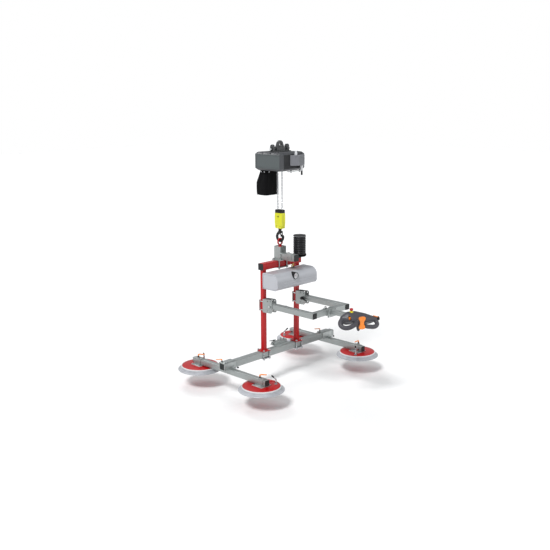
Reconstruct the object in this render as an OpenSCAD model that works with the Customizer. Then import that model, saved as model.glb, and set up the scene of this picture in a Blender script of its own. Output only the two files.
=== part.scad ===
// Glass panel lifter hanging on the hook of an electric chain hoist.
// Four suction pads on two cross beams grip the pane, and an operator steers it by the handle.
// Origin: centre of the bore in the hoist's suspension eye. +Z is up, +X runs along the main beam,
// and the operator stands towards -Y. Heights in here are counted from the underside of the pads.

/* [Beams] */
// Length of the main beam without its end caps
beam_l = 1456; // [1400:4:1700]
// Outside width and height of the main beam
beam_w = 60; // [54:1:66]
// Length of a cross beam without its end caps
cross_l = 936; // [920:4:1100]
// Outside width and height of a cross beam
cross_w = 50; // [44:1:54]
// Distance of each cross beam from the middle
cross_at = 650; // [570:5:660]
// Distance of each pad from the main beam's axis
pad_at = 400; // [300:5:410]
// Wall of the steel tubes
tube_t = 4; // [2.5:0.5:5]
// Outside corner radius of the steel tubes
corner_r = 5; // [4:0.5:7]
// Thickness of a black end cap outside its tube
cap_t = 4; // [3:0.5:6]

/* [Pads] */
// Radius of the rubber lip where it meets the pane
lip_r = 200; // [196:1:206]
// Radius of the red steel disc
disc_r = 163.5; // [158:0.5:166]
// Thickness of the red steel disc
disc_t = 12; // [9:0.5:14]
// Height of the disc's top above the pane
pad_h = 38; // [34:1:42]
// Width of the square foot plate bolted on the disc
foot_w = 118; // [108:2:124]
// Thickness of the foot plate
foot_t = 6; // [5:0.5:8]
// Length of the sleeve that slides on the cross beam
sleeve_l = 80; // [70:2:90]
// Wall of the sliding sleeves
sleeve_t = 4; // [3:0.5:6]
// Clearance of everything that slides on a tube
slide_gap = 0.4; // [0.3:0.1:0.8]

/* [Frame] */
// Outside width of a red column
column_w = 40; // [36:1:46]
// Distance between the axes of the two columns
column_gap = 438; // [430:2:450]
// Length of a red column
column_h = 751; // [740:1:790]
// Outside width and height of the red top tube
top_w = 60; // [54:1:66]
// Length of the red top tube without its caps
top_l = 498; // [492:2:540]
// Thickness of the flanges and clamp plates
flange_t = 8; // [6:1:10]
// Diameter of the threaded rods
rod_d = 10; // [8:1:12]

/* [Pump cover] */
// Length of the extruded cover with its end plates
cover_l = 524; // [500:2:560]
// Height of the cover
cover_h = 144; // [138:1:152]
// Depth of the cover from back to front
cover_d = 185; // [178:1:196]
// Radius of the cover's upper front edge
cover_r = 68; // [56:1:72]
// Thickness of the cover's sheet
cover_t = 3; // [2:0.5:4]
// Diameter of the vacuum gauge
gauge_d = 63; // [56:1:68]

/* [Suspension post] */
// Outside width of the square post
post_w = 80; // [72:1:84]
// Height of the post above its foot plate
post_h = 122; // [114:1:134]
// Outside width and height of the side arm
arm_w = 60; // [54:1:62]
// Length of the side arm from the post to its cap
arm_l = 161; // [156:1:176]
// Wire diameter of the red lifting ring
ring_d = 14; // [12:0.5:15]
// Inside radius of the red lifting ring
ring_in = 21; // [20.5:0.5:24]

/* [Spiral cable] */
// Diameter of the supply cable
cable_d = 15.6; // [13:0.2:15.6]
// Radius of the spiral at the cable's middle
coil_r = 50; // [46:1:54]
// Number of turns in the spiral
coil_turns = 10; // [6:1:11]
// Rise of each turn
coil_pitch = 16.4; // [16.4:0.1:18]

/* [Steering frame] */
// Height of the pivot that the steering frame turns on
pivot_z = 600; // [570:5:630]
// Distance of the pivot in front of the columns' axis
pivot_y = 110; // [102:1:120]
// Outside width and height of the arms
frame_w = 50; // [44:1:52]
// Distance from the columns' axis to the front of the cross tube
reach = 618; // [580:2:640]
// Outside width of the tube that carries the handle
stem_w = 40; // [36:1:44]
// Distance from the columns' axis to the handle's swivel
swivel_y = 877; // [860:1:930]
// Turn of the handle away from the operator's side
handle_turn = 25; // [0:1:35]
// Diameter of the hand grips
grip_d = 40; // [34:1:42]

/* [Hook block] */
// Height of the yellow block
block_h = 142; // [136:1:156]
// Height of the black chain guide on the block
guide_h = 30; // [26:1:36]
// Inside radius of the hook
hook_in = 24; // [22:1:27]
// Thickness of the hook's section in the plane of the hook
hook_t = 30; // [25:1:31]
// Width of the hook's section
hook_w = 22; // [19:1:23]
// Distance from the hook's centre to the block
neck_l = 77; // [72:1:88]

/* [Chain] */
// Wire diameter of the load chain
wire_d = 5; // [4.2:0.2:5.2]
// Inside length of a chain link
link_in = 15; // [14.5:0.1:16]
// Outside width of a chain link
link_w = 17; // [16.4:0.2:17.4]
// Distance of each chain fall from the hook's axis
fall_at = 27.5; // [27:0.1:28]
// Chain seen between the hoist and the block
fall_l = 359; // [330:1:420]

/* [Hoist] */
// Width of the hoist's body along the main beam
hoist_w = 320; // [310:2:336]
// Depth of the hoist's body
hoist_d = 316; // [308:2:332]
// Height of the hoist's body
hoist_h = 160; // [152:1:176]
// Bevel on the edges of the hoist's body
hoist_bevel = 18; // [12:1:22]
// Wall of the hoist's body
hoist_t = 6; // [4:0.5:8]
// Radius of the bore in the suspension eye
eye_r = 15; // [12:0.5:17]
// Height of the suspension bore above the hoist's body
eye_h = 62; // [60:1:72]
// Height of the chain bag
bag_h = 232; // [216:2:250]

/* [Hidden] */
fit = 0.05;
loose = 0.3;
cross_z = pad_h + foot_t + sleeve_t + slide_gap;
cross_top = cross_z + cross_w;
beam_z = cross_top + slide_gap;
beam_top = beam_z + beam_w;
top_z = beam_top + flange_t + column_h;
post_z = top_z + top_w;
post_top = post_z + foot_t + post_h;
bar_top = post_top - 6;
collar_h = 12;
ring_z = bar_top + collar_h - 2 + ring_in + ring_d;
hook_z = ring_z + ring_in - loose + hook_in;
block_z = hook_z + neck_l;
block_top = block_z + block_h + guide_h;
hoist_z = block_top + fall_l;
hoist_top = hoist_z + hoist_h;
eye_z = hoist_top + eye_h;

column_x = column_gap / 2;
rod_at = beam_w / 2 + rod_d / 2 + 1.5;
flange_w = 2 * (rod_at + 8.5);
post_rod = [post_w / 2 + 10, top_w / 2 + rod_d / 2 + 2];
post_plate = [2 * post_rod[0] + 30, 2 * post_rod[1] + 22];
arm_end = post_w / 2 + arm_l;
arm_z = post_z + foot_t + 4;
coil_at = [arm_w / 2 + coil_r + cable_d / 2 + 10, -arm_end + 50];
coil_foot = arm_z + 36;
coil_start = coil_foot + cable_d / 2 + 1.5;
coil_top = coil_start + coil_turns * coil_pitch + cable_d / 2 + 1.5;
lug_r = 31;
cover_back = column_w / 2 + 13;
cover_z = post_z - 221;
cover_low = 34;
pump_room = 246;
battery_in = 36;
gauge_x = -28;
gauge_z = cover_z + cover_h - 36;
gauge_front = cover_back + cover_d + 10;
tray_t = 4;

clamp_in = frame_w / 2 + slide_gap;
clamp_t = 6;
bracket_front = [pivot_y + 24, 62, -64];
bracket_back = [column_w / 2 + 1, 56, -68];
bracket_r = 18;
index_at = [[6, 45], [-28, 45]];
pin_r = 8;
tube_y = -(reach - frame_w / 2);
swivel_r = 12;
fork_t = 6;
strap_x = 41;
stem_lever_d = 8;
boss_h = stem_w - 2 * fork_t - 2 * loose;
link_p = link_in - 0.2;
chain_half = (link_w - wire_d) / 2 * cos(45) + wire_d / 2;
wheel_r = fall_at - chain_half - loose;
wheel_z = 50;
axle_r = 6;
bag_side = fall_at + link_w / 2 + 10;
bag_x = [-130, 47];
bag_w = 134;
block_w = 52;
block_d = 88;
block_t = 5;
floor_t = 16;
sheave_z = 110;
hook_mid = hook_in + hook_t / 2;
latch_at = [-16, hook_mid + 7];
latch_turn = 263;
latch_r = 3;
latch_plate = [22, 43];
tip_angle = 160;
sleeve_w = cross_w + 2 * (slide_gap + sleeve_t);
sleeve_top = cross_top + slide_gap + sleeve_t;
saddle_in = beam_w / 2 + slide_gap;
saddle_x = [-90, 45];
saddle_l = saddle_x[1] - saddle_x[0];
saddle_top = beam_top + slide_gap + 6;
saddle_lever = [-75, 14];
valve_at = [108, 67];
valve_z = pad_h + 42;
lever_d = 12;
boss_t = 8;
lever_out = 17;
pad_ways = [[-1, -1], [-1, 1], [1, -1], [1, 1]];
pad_lever_turn = [-45, -45, 180, 180];

red = [0.74, 0.02, 0.03];
zinc = [0.66, 0.69, 0.69];
orange = [0.87, 0.42, 0.07];
black = [0.04, 0.04, 0.05];
steel = [0.6, 0.62, 0.64];

// Points of an arc about [x, y], in n steps
function arc(x, y, r, from, to, n) =
    [for (i = [0:n]) let(a = from + (to - from) * i / n) [x + r * cos(a), y + r * sin(a)]];

// Outline of a rectangle with round corners
function round_rect(w, h, r) = concat(
    arc(w / 2 - r, h / 2 - r, r, 0, 90, 4), arc(r - w / 2, h / 2 - r, r, 90, 180, 4),
    arc(r - w / 2, r - h / 2, r, 180, 270, 4), arc(w / 2 - r, r - h / 2, r, 270, 360, 4));

// Outline of a rectangle with bevelled corners
function bevel_rect(w, h, c) = [[w / 2 - c, -h / 2], [w / 2, c - h / 2], [w / 2, h / 2 - c],
    [w / 2 - c, h / 2], [c - w / 2, h / 2], [-w / 2, h / 2 - c], [-w / 2, c - h / 2], [c - w / 2, -h / 2]];

function unit(v) = v / norm(v);

// Heights count from the pads' underside, and this shifts them into the part's frame
module raise(z = 0) translate([0, 0, z - eye_z]) children();
module along_x() rotate([0, 90, 0]) children();
module along_y() rotate([90, 0, 0]) children();

// Square tube along Z, centred, with round corners
module tube_outline(w) difference() {
    inner = w - 2 * tube_t;
    polygon(round_rect(w, w, corner_r));
    polygon(round_rect(inner, inner, max(corner_r - tube_t, 0.8)));
}
module tube(l, w) linear_extrude(l, center = true) tube_outline(w);

// Plug cap for the end of a square tube, facing +Z
module cap(w) {
    linear_extrude(cap_t) polygon(round_rect(w, w, corner_r));
    plug = w - 2 * tube_t - 2 * loose;
    translate([0, 0, -12]) linear_extrude(12) polygon(round_rect(plug, plug, 2));
}

// Box with every edge bevelled, standing on Z
module bevel_box(w, d, h, c) intersection() {
    linear_extrude(h) polygon(bevel_rect(w, d, c));
    translate([0, 0, h / 2]) along_x() linear_extrude(w, center = true) polygon(bevel_rect(h, d, c));
    translate([0, 0, h / 2]) along_y() linear_extrude(d, center = true) polygon(bevel_rect(w, h, c));
}

// Hexagon nut or bolt head along Z
module nut(d, h) cylinder(d = d * 1.9, h = h, $fn = 6);

// One mesh that follows a list of points: rings of equal sides, square to the path
module sweep(path, r, sides) {
    n = len(path);
    dirs = [for (i = [0:n - 1]) unit(path[min(i + 1, n - 1)] - path[max(i - 1, 0)])];
    ups = [for (d = dirs) unit(cross(d, cross([0, 0, 1], d)))];
    rings = [for (i = [0:n - 1]) for (k = [0:sides - 1])
        path[i] + r * (ups[i] * cos(360 * k / sides) + cross(dirs[i], ups[i]) * sin(360 * k / sides))];
    skin = [for (i = [0:n - 2]) for (k = [0:sides - 1])
        let(a = i * sides, b = a + sides, j = (k + 1) % sides)
        each [[a + k, b + k, a + j], [a + j, b + k, b + j]]];
    last = (n - 1) * sides;
    ends = [for (k = [1:sides - 2]) each [[0, k, k + 1], [last, last + k + 1, last + k]]];
    polyhedron(rings, concat(skin, ends));
}

// Clamping lever: a threaded stud, a hub and a bent arm that points to +X
module clamp_lever(arm, d, stud) {
    translate([0, 0, -stud]) cylinder(d = d * 0.7, h = stud + 1, $fn = 32);
    cylinder(d1 = d * 1.3, d2 = d * 1.1, h = d, $fn = 40);
    translate([0, 0, d]) cylinder(d1 = d * 1.15, d2 = d * 1.25, h = d * 1.6, $fn = 40);
    translate([0, 0, d * 2.1]) rotate([0, 85, 0]) cylinder(d1 = d, d2 = d * 0.85, h = arm, $fn = 32);
    translate([0, 0, d * 2.1]) rotate([0, 85, 0]) translate([0, 0, arm]) sphere(d = d * 0.85, $fn = 32);
}

// Hoist

module hoist_housing() color([0.29, 0.31, 0.33]) raise(hoist_z) {
    difference() {
        bevel_box(hoist_w, hoist_d, hoist_h, hoist_bevel);
        translate([0, 0, hoist_t]) bevel_box(hoist_w - 2 * hoist_t, hoist_d - 2 * hoist_t,
            hoist_h - 2 * hoist_t, hoist_bevel);
        chain_slots(3 * hoist_t);
        for (side = [-1, 1]) translate([side * hoist_w / 2, 0, hoist_h / 2]) along_x()
            linear_extrude(3, center = true) polygon(bevel_rect(hoist_h - 52, hoist_d - 70, 10));
    }
    for (side = [-1, 1]) difference() {
        translate([side * 25, 0, hoist_h / 2]) cube([8, 110, hoist_h - 2 * hoist_t], center = true);
        translate([side * 25, 0, wheel_z]) along_x()
            cylinder(r = axle_r + fit, h = 20, center = true, $fn = 48);
    }
}

module hoist_fittings() color([0.2, 0.21, 0.23]) raise() {
    translate([0, 0, hoist_top]) {
        linear_extrude(8) polygon(round_rect(224, 64, 8));
        for (side = [-1, 1]) translate([side * 92, 0, 0]) difference() {
            along_x() linear_extrude(24, center = true) {
                translate([-23, 0]) square([46, 40], center = true);
                translate([-46, 0]) circle(r = 20, $fn = 64);
            }
            translate([0, 0, 26]) along_x() cylinder(r = pin_r + fit, h = 30, center = true, $fn = 48);
        }
    }
    translate([76, -118, hoist_z - 11]) {
        cube([186, 24, 6], center = true);
        for (side = [-1, 1]) translate([side * 56, 0, 2]) cylinder(d = 14, h = 9, $fn = 32);
        for (side = [-1, 1]) translate([side * 56, 0, -10]) nut(8, 8);
    }
}

module suspension_eye() color([0.24, 0.25, 0.27]) raise(hoist_top) {
    difference() {
        along_y() linear_extrude(18, center = true) difference() {
            union() {
                polygon([[-52, 10], [52, 10], [52, 38], [eye_r + 21, eye_h + 6], [-eye_r - 21, eye_h + 6],
                    [-52, 38]]);
                translate([0, eye_h]) circle(r = eye_r + 22, $fn = 72);
            }
            translate([0, eye_h]) circle(r = eye_r, $fn = 72);
        }
    }
    translate([0, 0, 26]) cube([104, 34, 30], center = true);
    translate([0, 0, 26]) along_x() cylinder(r = pin_r, h = 216, center = true, $fn = 48);
    for (side = [-1, 1]) translate([side * 110, 0, 26]) along_x()
        cylinder(r = 13, h = 8, center = true, $fn = 48);
}

module control_box() color([0.44, 0.45, 0.48]) raise(hoist_z + 44) translate([0, -hoist_d / 2, 0]) {
    difference() {
        linear_extrude(92) polygon([[-32, 0], [-4, -30], [26, -44], [98, -44], [122, -30], [134, 0]]);
        translate([0, 0, 4]) linear_extrude(84)
            polygon([[-20, -4], [0, -26], [28, -39], [96, -39], [118, -27], [126, -4]]);
    }
    translate([18, -22, 92]) {
        nut(14, 9);
        translate([0, 0, 9]) cylinder(d1 = 24, d2 = 18, h = 28, $fn = 40);
    }
    translate([89, -26, 0]) mirror([0, 0, 1]) {
        nut(14, 9);
        translate([0, 0, 9]) cylinder(d1 = 22, d2 = 18, h = 40, $fn = 40);
        translate([0, 0, 49]) cylinder(d = 16, h = 38, $fn = 40);
    }
}

// Soft bag for the slack chain, narrower at the top where its frame hangs under the hoist
module bag_form(s) hull() {
    translate([bag_x[0] + s, bag_side + s, 14])
        cube([bag_x[1] - bag_x[0] - 2 * s, bag_w - 2 * s, bag_h * 0.5]);
    translate([bag_x[0] + 10 + s, bag_side + 8 + s, s])
        cube([bag_x[1] - bag_x[0] - 20 - 2 * s, bag_w - 16 - 2 * s, 20]);
    translate([bag_x[0] + 14 + s, bag_side + s, bag_h - 10])
        cube([bag_x[1] - bag_x[0] - 18 - 2 * s, bag_w - 44 - 2 * s, 10 + s / 2]);
}
module chain_bag() color(black) raise(hoist_z - bag_h) difference() {
    bag_form(0);
    bag_form(4);
}

module load_wheel() color(steel) raise(hoist_z + wheel_z) along_x() {
    cylinder(r = axle_r, h = 64, center = true, $fn = 48);
    difference() {
        cylinder(r = wheel_r, h = 20, center = true, $fn = 64);
        for (a = [45:90:315]) rotate([0, 0, a]) translate([wheel_r + 3, 0, 0])
            cylinder(r = 8, h = 8, center = true, $fn = 32);
    }
}

// Chain

module link() {
    bend = (link_w - wire_d) / 2;
    straight = link_in + 2 * wire_d - 2 * bend - wire_d;
    for (side = [-1, 1]) {
        translate([side * bend, 0, 0]) cylinder(d = wire_d, h = straight, center = true, $fn = 24);
        translate([0, 0, side * straight / 2]) rotate([side * 90, 0, 0])
            rotate_extrude(angle = 180, $fn = 48) translate([bend, 0]) circle(d = wire_d, $fn = 24);
    }
}
// Cross-shaped slots that guide both falls
module chain_slots(h) for (side = [-1, 1]) for (a = [45, 135])
    translate([0, side * fall_at, 0]) rotate([0, 0, a])
        cube([link_w + 2 * loose, wire_d + 2 * loose, h], center = true);
module chain() color([0.72, 0.73, 0.74]) raise(block_z + sheave_z) {
    count = ceil((hoist_z + wheel_z - block_z - sheave_z) / link_p);
    for (side = [-1, 1]) for (i = [0:count - 1])
        translate([0, side * fall_at, (i + 0.5) * link_p]) rotate([0, 0, 45 + 90 * (i % 2)]) link();
}

// Hook block

module block_form(s) {
    wide = [[0, 36], [8, 41], [60, block_d / 2], [110, block_d / 2], [block_h, 42]];
    deep = [[0, 20], [8, 24], [60, block_w / 2], [110, block_w / 2], [block_h, 25]];
    intersection() {
        rotate([90, 0, 90]) linear_extrude(block_w, center = true) outline(wide, s);
        rotate([90, 0, 0]) linear_extrude(block_d, center = true) outline(deep, s);
    }
}
module outline(side, s) {
    last = len(side) - 1;
    polygon(concat([for (p = side) [p[1] - s, p[0]]], [for (i = [last:-1:0]) [s - side[i][1], side[i][0]]]));
}
module block_shells() color([0.82, 0.83, 0.06]) raise(block_z) difference() {
    union() {
        difference() {
            block_form(0);
            difference() {
                block_form(block_t);
                cube([100, 100, 2 * floor_t], center = true);
            }
        }
        for (side = [-1, 1]) translate([side * 15, 0, sheave_z]) along_x()
            cylinder(r = 11, h = 15, center = true, $fn = 48);
    }
    cylinder(r = hook_w / 2 + fit, h = 60, center = true, $fn = 64);
    translate([0, 0, sheave_z]) along_x() cylinder(r = axle_r + fit, h = 70, center = true, $fn = 48);
    for (side = [-1, 1]) for (y = [-24, 24]) translate([side * block_w / 2, y, 22]) along_x()
        cylinder(r = 3.5, h = 6, center = true, $fn = 32);
}
module block_guide() color(black) raise(block_z + block_h) difference() {
    linear_extrude(guide_h) polygon(round_rect(block_w - 4, block_d - 6, 6));
    chain_slots(3 * guide_h);
}
module block_sheave() color(steel) raise(block_z + sheave_z) along_x() {
    cylinder(r = axle_r, h = 50, center = true, $fn = 48);
    difference() {
        cylinder(r = wheel_r, h = 14, center = true, $fn = 64);
        rotate_extrude($fn = 64) translate([wheel_r + 2, 0]) circle(r = 4, $fn = 32);
    }
}

// Section of the hook's bowl, round on both edges
module hook_section() {
    square([hook_t - hook_w, hook_w], center = true);
    for (side = [-1, 1]) translate([side * (hook_t - hook_w) / 2, 0]) circle(d = hook_w, $fn = 48);
}
module hook() color([0.06, 0.06, 0.07]) raise(hook_z) {
    half = (hook_t - hook_w) / 2;
    difference() {
        rotate([90, 0, 90]) {
            rotate([0, 0, tip_angle]) {
                rotate_extrude(angle = 450 - tip_angle - 6, $fn = 96)
                    translate([hook_mid, 0]) hook_section();
                translate([hook_mid, 0, 0]) {
                    along_x() cylinder(d = hook_w - 0.5, h = 2 * half, center = true, $fn = 48);
                    for (side = [-1, 1]) translate([side * half, 0, 0]) sphere(d = hook_w - 0.5, $fn = 48);
                }
            }
            linear_extrude(hook_w - 1, center = true) {
                polygon([[15, hook_in + 5], [hook_w / 2, neck_l - 14], [-hook_w / 2, neck_l - 14],
                    latch_at + [-4, 8], latch_at + [-4, -8], [-8, hook_in + 3]]);
                translate(latch_at) circle(r = 9, $fn = 48);
            }
        }
        translate([0, latch_at[0], latch_at[1]]) along_x()
            cylinder(r = latch_r + fit, h = 40, center = true, $fn = 48);
    }
    translate([0, 0, neck_l - 16]) cylinder(d = hook_w + 8, h = 16 - loose, $fn = 48);
    translate([0, 0, neck_l - 1]) cylinder(d = hook_w, h = floor_t + 3, $fn = 64);
    translate([0, 0, neck_l + floor_t + 2 * fit]) cylinder(d = 36, h = 14, $fn = 48);
}

// Sprung latch: two cheeks on a pin and a plate that rests behind the hook's tip
module hook_latch() color(steel) raise(hook_z) translate([0, latch_at[0], latch_at[1]]) {
    along_x() cylinder(r = latch_r, h = hook_w + 8, center = true, $fn = 48);
    rotate([90, 0, 90]) rotate([0, 0, latch_turn]) {
        for (side = [-1, 1]) translate([0, 0, side * (hook_w / 2 + 1.8)])
            linear_extrude(2.4, center = true) {
                circle(r = 7, $fn = 40);
                translate([12, 0]) square([24, 8], center = true);
            }
        translate([latch_plate[0], -1.5, -hook_w / 2 - 3])
            cube([latch_plate[1] - latch_plate[0], 3, hook_w + 6]);
    }
}

// Beams and frame

module main_beam() color(zinc) raise(beam_z + beam_w / 2) along_x() tube(beam_l, beam_w);

module tube_caps() color(black) raise() {
    for (side = [-1, 1]) {
        translate([side * beam_l / 2, 0, beam_z + beam_w / 2]) rotate([0, side * 90, 0]) cap(beam_w);
        translate([side * top_l / 2, 0, top_z + top_w / 2]) rotate([0, side * 90, 0]) cap(top_w);
    }
    translate([0, -arm_end, arm_z + arm_w / 2]) along_y() cap(arm_w);
}

module rod_holes(x) for (sx = [-1, 1]) for (sy = [-1, 1])
    translate([x + sx * rod_at, sy * rod_at, 0]) children();

// Drawn down and up from the seam under the top tube, so that the welded ends meet at any length
module column_frame() color(red) raise(top_z) {
    for (side = [-1, 1]) {
        translate([side * column_x, 0, 0]) mirror([0, 0, 1]) linear_extrude(column_h) tube_outline(column_w);
        difference() {
            translate([side * column_x, 0, -column_h]) mirror([0, 0, 1]) linear_extrude(flange_t)
                polygon(round_rect(flange_w, flange_w, 4));
            rod_holes(side * column_x) translate([0, 0, -column_h - flange_t - 1])
                cylinder(d = rod_d + 1, h = flange_t + 2, $fn = 48);
        }
    }
    along_x() linear_extrude(top_l, center = true) translate([-top_w / 2, 0]) tube_outline(top_w);
}

module frame_rods() color(steel) raise() for (side = [-1, 1]) {
    translate([side * column_x, 0, beam_z - flange_t]) linear_extrude(flange_t)
        polygon(round_rect(flange_w, flange_w, 4));
    rod_holes(side * column_x) {
        translate([0, 0, beam_z - flange_t - 12])
            cylinder(d = rod_d, h = beam_w + 2 * flange_t + 24, $fn = 32);
        translate([0, 0, beam_top + flange_t]) nut(rod_d, 8);
        translate([0, 0, beam_z - flange_t - 8]) nut(rod_d, 8);
    }
}

// Vacuum unit under its extruded cover. Outlines are drawn as [distance from the back, height].

function cover_outline(s) = concat([[s, s]],
    arc(cover_d - cover_low, cover_low, cover_low - s, -90, 0, 8),
    arc(cover_d - cover_r, cover_h - cover_r, cover_r - s, 0, 90, 12),
    arc(14, cover_h - 14, 14 - s, 90, 180, 4));
module cover_slab(x0, x1, s) translate([x0, -cover_back, cover_z]) rotate([90, 0, -90]) mirror([0, 0, 1])
    linear_extrude(x1 - x0) polygon(cover_outline(s));
module pump_cover() color([0.78, 0.79, 0.82]) raise() difference() {
    union() {
        difference() {
            cover_slab(-cover_l / 2 + 4, cover_l / 2 - 4, 0);
            cover_slab(-cover_l / 2, cover_l / 2, cover_t);
        }
        for (x = [-cover_l / 2, cover_l / 2 - 5]) cover_slab(x, x + 5, -1.2);
    }
    translate([0, -cover_back, cover_z + cover_h / 2]) cube([cover_l - 30, 16, cover_h - 44], center = true);
    translate([gauge_x, -gauge_front, gauge_z]) rotate([-90, 0, 0])
        cylinder(d = gauge_d + 2 * loose, h = 100, $fn = 72);
}

module pump_tray() color(zinc) raise(cover_z) {
    translate([0, -cover_back + tray_t / 2, cover_h / 2])
        cube([cover_l - 20, tray_t, cover_h - 16], center = true);
    for (side = [-1, 1]) for (z = [34, cover_h - 34]) translate([side * column_x, -column_w / 2, z])
        along_y() cylinder(d = 16, h = cover_back - tray_t - column_w / 2, $fn = 32);
}

module vacuum_pump() color([0.3, 0.32, 0.36]) raise(cover_z + 62)
translate([cover_l / 2 - pump_room, -cover_back - 62, 0]) {
    along_x() cylinder(d = 80, h = 150, $fn = 72);
    translate([150, -34, -40]) cube([56, 76, 96]);
    translate([0, 0, -30]) cube([206, 62, 26]);
    for (x = [164, 190]) translate([x, 0, 56]) cylinder(d = 12, h = 12, $fn = 32);
}

module battery() color([0.13, 0.14, 0.16]) raise(cover_z)
translate([battery_in - cover_l / 2, -cover_back, 0]) {
    translate([0, -96, 24]) cube([150, 96, 94]);
    for (x = [22, 128]) translate([x, -50, 117]) cylinder(d = 12, h = 10, $fn = 32);
}

// Vacuum gauge on a pipe from the tray, with a needle sunk in its dial
module gauge() color(black) raise(gauge_z) translate([gauge_x, 0, 0]) rotate([90, 0, 0]) {
    difference() {
        translate([0, 0, gauge_front - 62]) cylinder(d = gauge_d, h = 62, $fn = 72);
        translate([0, 0, gauge_front - 6]) cylinder(d = gauge_d - 8, h = 10, $fn = 72);
        translate([0, 0, gauge_front - 18]) cylinder(r = 1.5 + fit, h = 20, $fn = 32);
    }
    translate([0, 0, cover_back]) cylinder(d = 14, h = gauge_front - 60 - cover_back, $fn = 32);
}
module gauge_needle() color("red") raise(gauge_z) translate([gauge_x, 0, 0]) rotate([90, 0, 0])
    translate([0, 0, gauge_front - 16]) {
        cylinder(r = 1.5, h = 13, $fn = 32);
        translate([0, 0, 10.3]) cylinder(r = 4, h = 2, $fn = 32);
        translate([0, 0, 10.6]) rotate([0, 0, 120]) translate([-6, -1, 0]) cube([gauge_d / 2 - 1, 2, 1.2]);
    }

// Suspension post, its ring and the spiral supply cable

module suspension_post() color(zinc) raise() {
    for (z = [post_z, top_z - foot_t]) translate([0, 0, z]) linear_extrude(foot_t)
        polygon(round_rect(post_plate[0], post_plate[1], 4));
    for (sx = [-1, 1]) for (sy = [-1, 1]) translate([sx * post_rod[0], sy * post_rod[1], 0]) {
        translate([0, 0, top_z - foot_t - 9]) cylinder(d = rod_d, h = top_w + 2 * foot_t + 22, $fn = 32);
        translate([0, 0, post_z + foot_t]) nut(rod_d, 7);
        translate([0, 0, top_z - foot_t - 7]) nut(rod_d, 7);
    }
    translate([0, 0, post_z + foot_t + post_h / 2]) tube(post_h, post_w);
    difference() {
        inner = post_w - 2 * tube_t + 0.5;
        translate([0, 0, bar_top - 5]) cube([inner, inner, 10], center = true);
        translate([0, 0, bar_top - 11]) cylinder(d = 17, h = 12, $fn = 48);
    }
    translate([0, -(post_w / 2 + arm_end) / 2, arm_z + arm_w / 2]) along_y() tube(arm_l, arm_w);
    translate([-arm_w / 2 - 5, 61 - arm_end, arm_z + 51]) along_x() difference() {
        linear_extrude(5) {
            circle(r = lug_r, $fn = 72);
            translate([0, -lug_r]) square([50, 2 * lug_r]);
        }
        for (side = [-1, 1]) translate([21, side * 11, 0]) cylinder(r = 4, h = 20, center = true, $fn = 40);
    }
}

module lifting_ring() color(red) raise() {
    translate([0, 0, ring_z]) rotate([90, 0, 0]) rotate_extrude($fn = 96)
        translate([ring_in + ring_d / 2, 0]) circle(d = ring_d, $fn = 48);
    translate([0, 0, bar_top]) cylinder(r1 = 17, r2 = 13, h = collar_h, $fn = 48);
    translate([0, 0, bar_top - 34]) cylinder(d = 16, h = 35, $fn = 48);
    translate([0, 0, bar_top - 24]) nut(16, 14);
}

// Path of the spiral: a straight end, the turns and a straight end, all in one line
function coil_point(a) = [coil_r * cos(a), coil_r * sin(a), coil_start + coil_pitch * a / 360];
coil_slope = coil_pitch / (2 * PI * coil_r);
coil_dir = unit([0, 1, coil_slope]);
coil_lead = cable_d + 1;
coil_path = concat(
    [for (i = [2:-1:1]) coil_point(0) - coil_dir * coil_lead * i / 2],
    [for (i = [0:24 * coil_turns]) coil_point(15 * i)],
    [for (i = [1:2]) coil_point(360 * coil_turns) + coil_dir * coil_lead * i / 2]);
// Least gap between stretches of the cable more than half a turn apart
coil_free = min([for (i = [0:len(coil_path) - 14]) for (j = [i + 13:len(coil_path) - 1])
    norm(coil_path[i] - coil_path[j])]) - cable_d;
module spiral_cable() color(black) raise() {
    echo(least_gap = coil_free);
    translate([coil_at[0], coil_at[1], 0]) sweep(coil_path, cable_d / 2, 6);
}

// Glands that hold the cable's ends, square to it
module cable_gland(p, dir) translate(p) rotate([-90 * dir + asin(coil_dir[2]), 0, 0])
    cylinder(d = cable_d + 1, h = 16, $fn = 48);
module coil_holder() color(black) raise() translate([coil_at[0], coil_at[1], 0]) {
    disc = coil_r + cable_d / 2;
    for (z = [coil_foot - 6, coil_top]) translate([0, 0, z]) cylinder(r = disc, h = 6, $fn = 96);
    translate([0, 0, coil_foot - 1]) cylinder(d = 30, h = coil_top - coil_foot + 2, $fn = 48);
    translate([-coil_at[0] + arm_w / 2, -20, coil_foot - 20]) cube([coil_at[0] - arm_w / 2, 40, 15]);
    translate([-coil_at[0] + arm_w / 2, -34, arm_z + 6]) cube([6, 68, 34]);
    cable_gland(coil_path[0], -1);
    translate([coil_r - 8, -coil_lead - 16, coil_foot - 6]) cube([16, 15, 8]);
    cable_gland(coil_path[len(coil_path) - 1], 1);
}

module vacuum_manifold() color(steel) raise(beam_top) {
    translate([-56, -6, 0]) cube([186, 84, 4]);
    translate([-50, 34, 3]) cube([172, 38, 26]);
    for (x = [-20, 20, 60, 100]) translate([x, 53, 28]) cylinder(d = 13, h = 16, $fn = 32);
    for (x = [-20, 60]) translate([x, 53, 44]) sphere(d = 17, $fn = 32);
    translate([-50, 53, 16]) rotate([0, -90, 0]) nut(14, 14);
    difference() {
        translate([-38, 53, 28]) cylinder(d = 14, h = 12, $fn = 32);
        translate([-38, 53, 29]) cylinder(r = 3 + fit, h = 14, $fn = 32);
    }
}
module manifold_lever() color(black) raise(beam_top + 40 + loose) translate([-38, 53, 0]) {
    translate([0, 0, -9]) cylinder(r = 3, h = 10, $fn = 32);
    cylinder(d = 15, h = 8, $fn = 32);
    rotate([0, 0, 160]) translate([0, -5, 1]) cube([48, 10, 6]);
}

// Steering frame and its brackets

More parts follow.
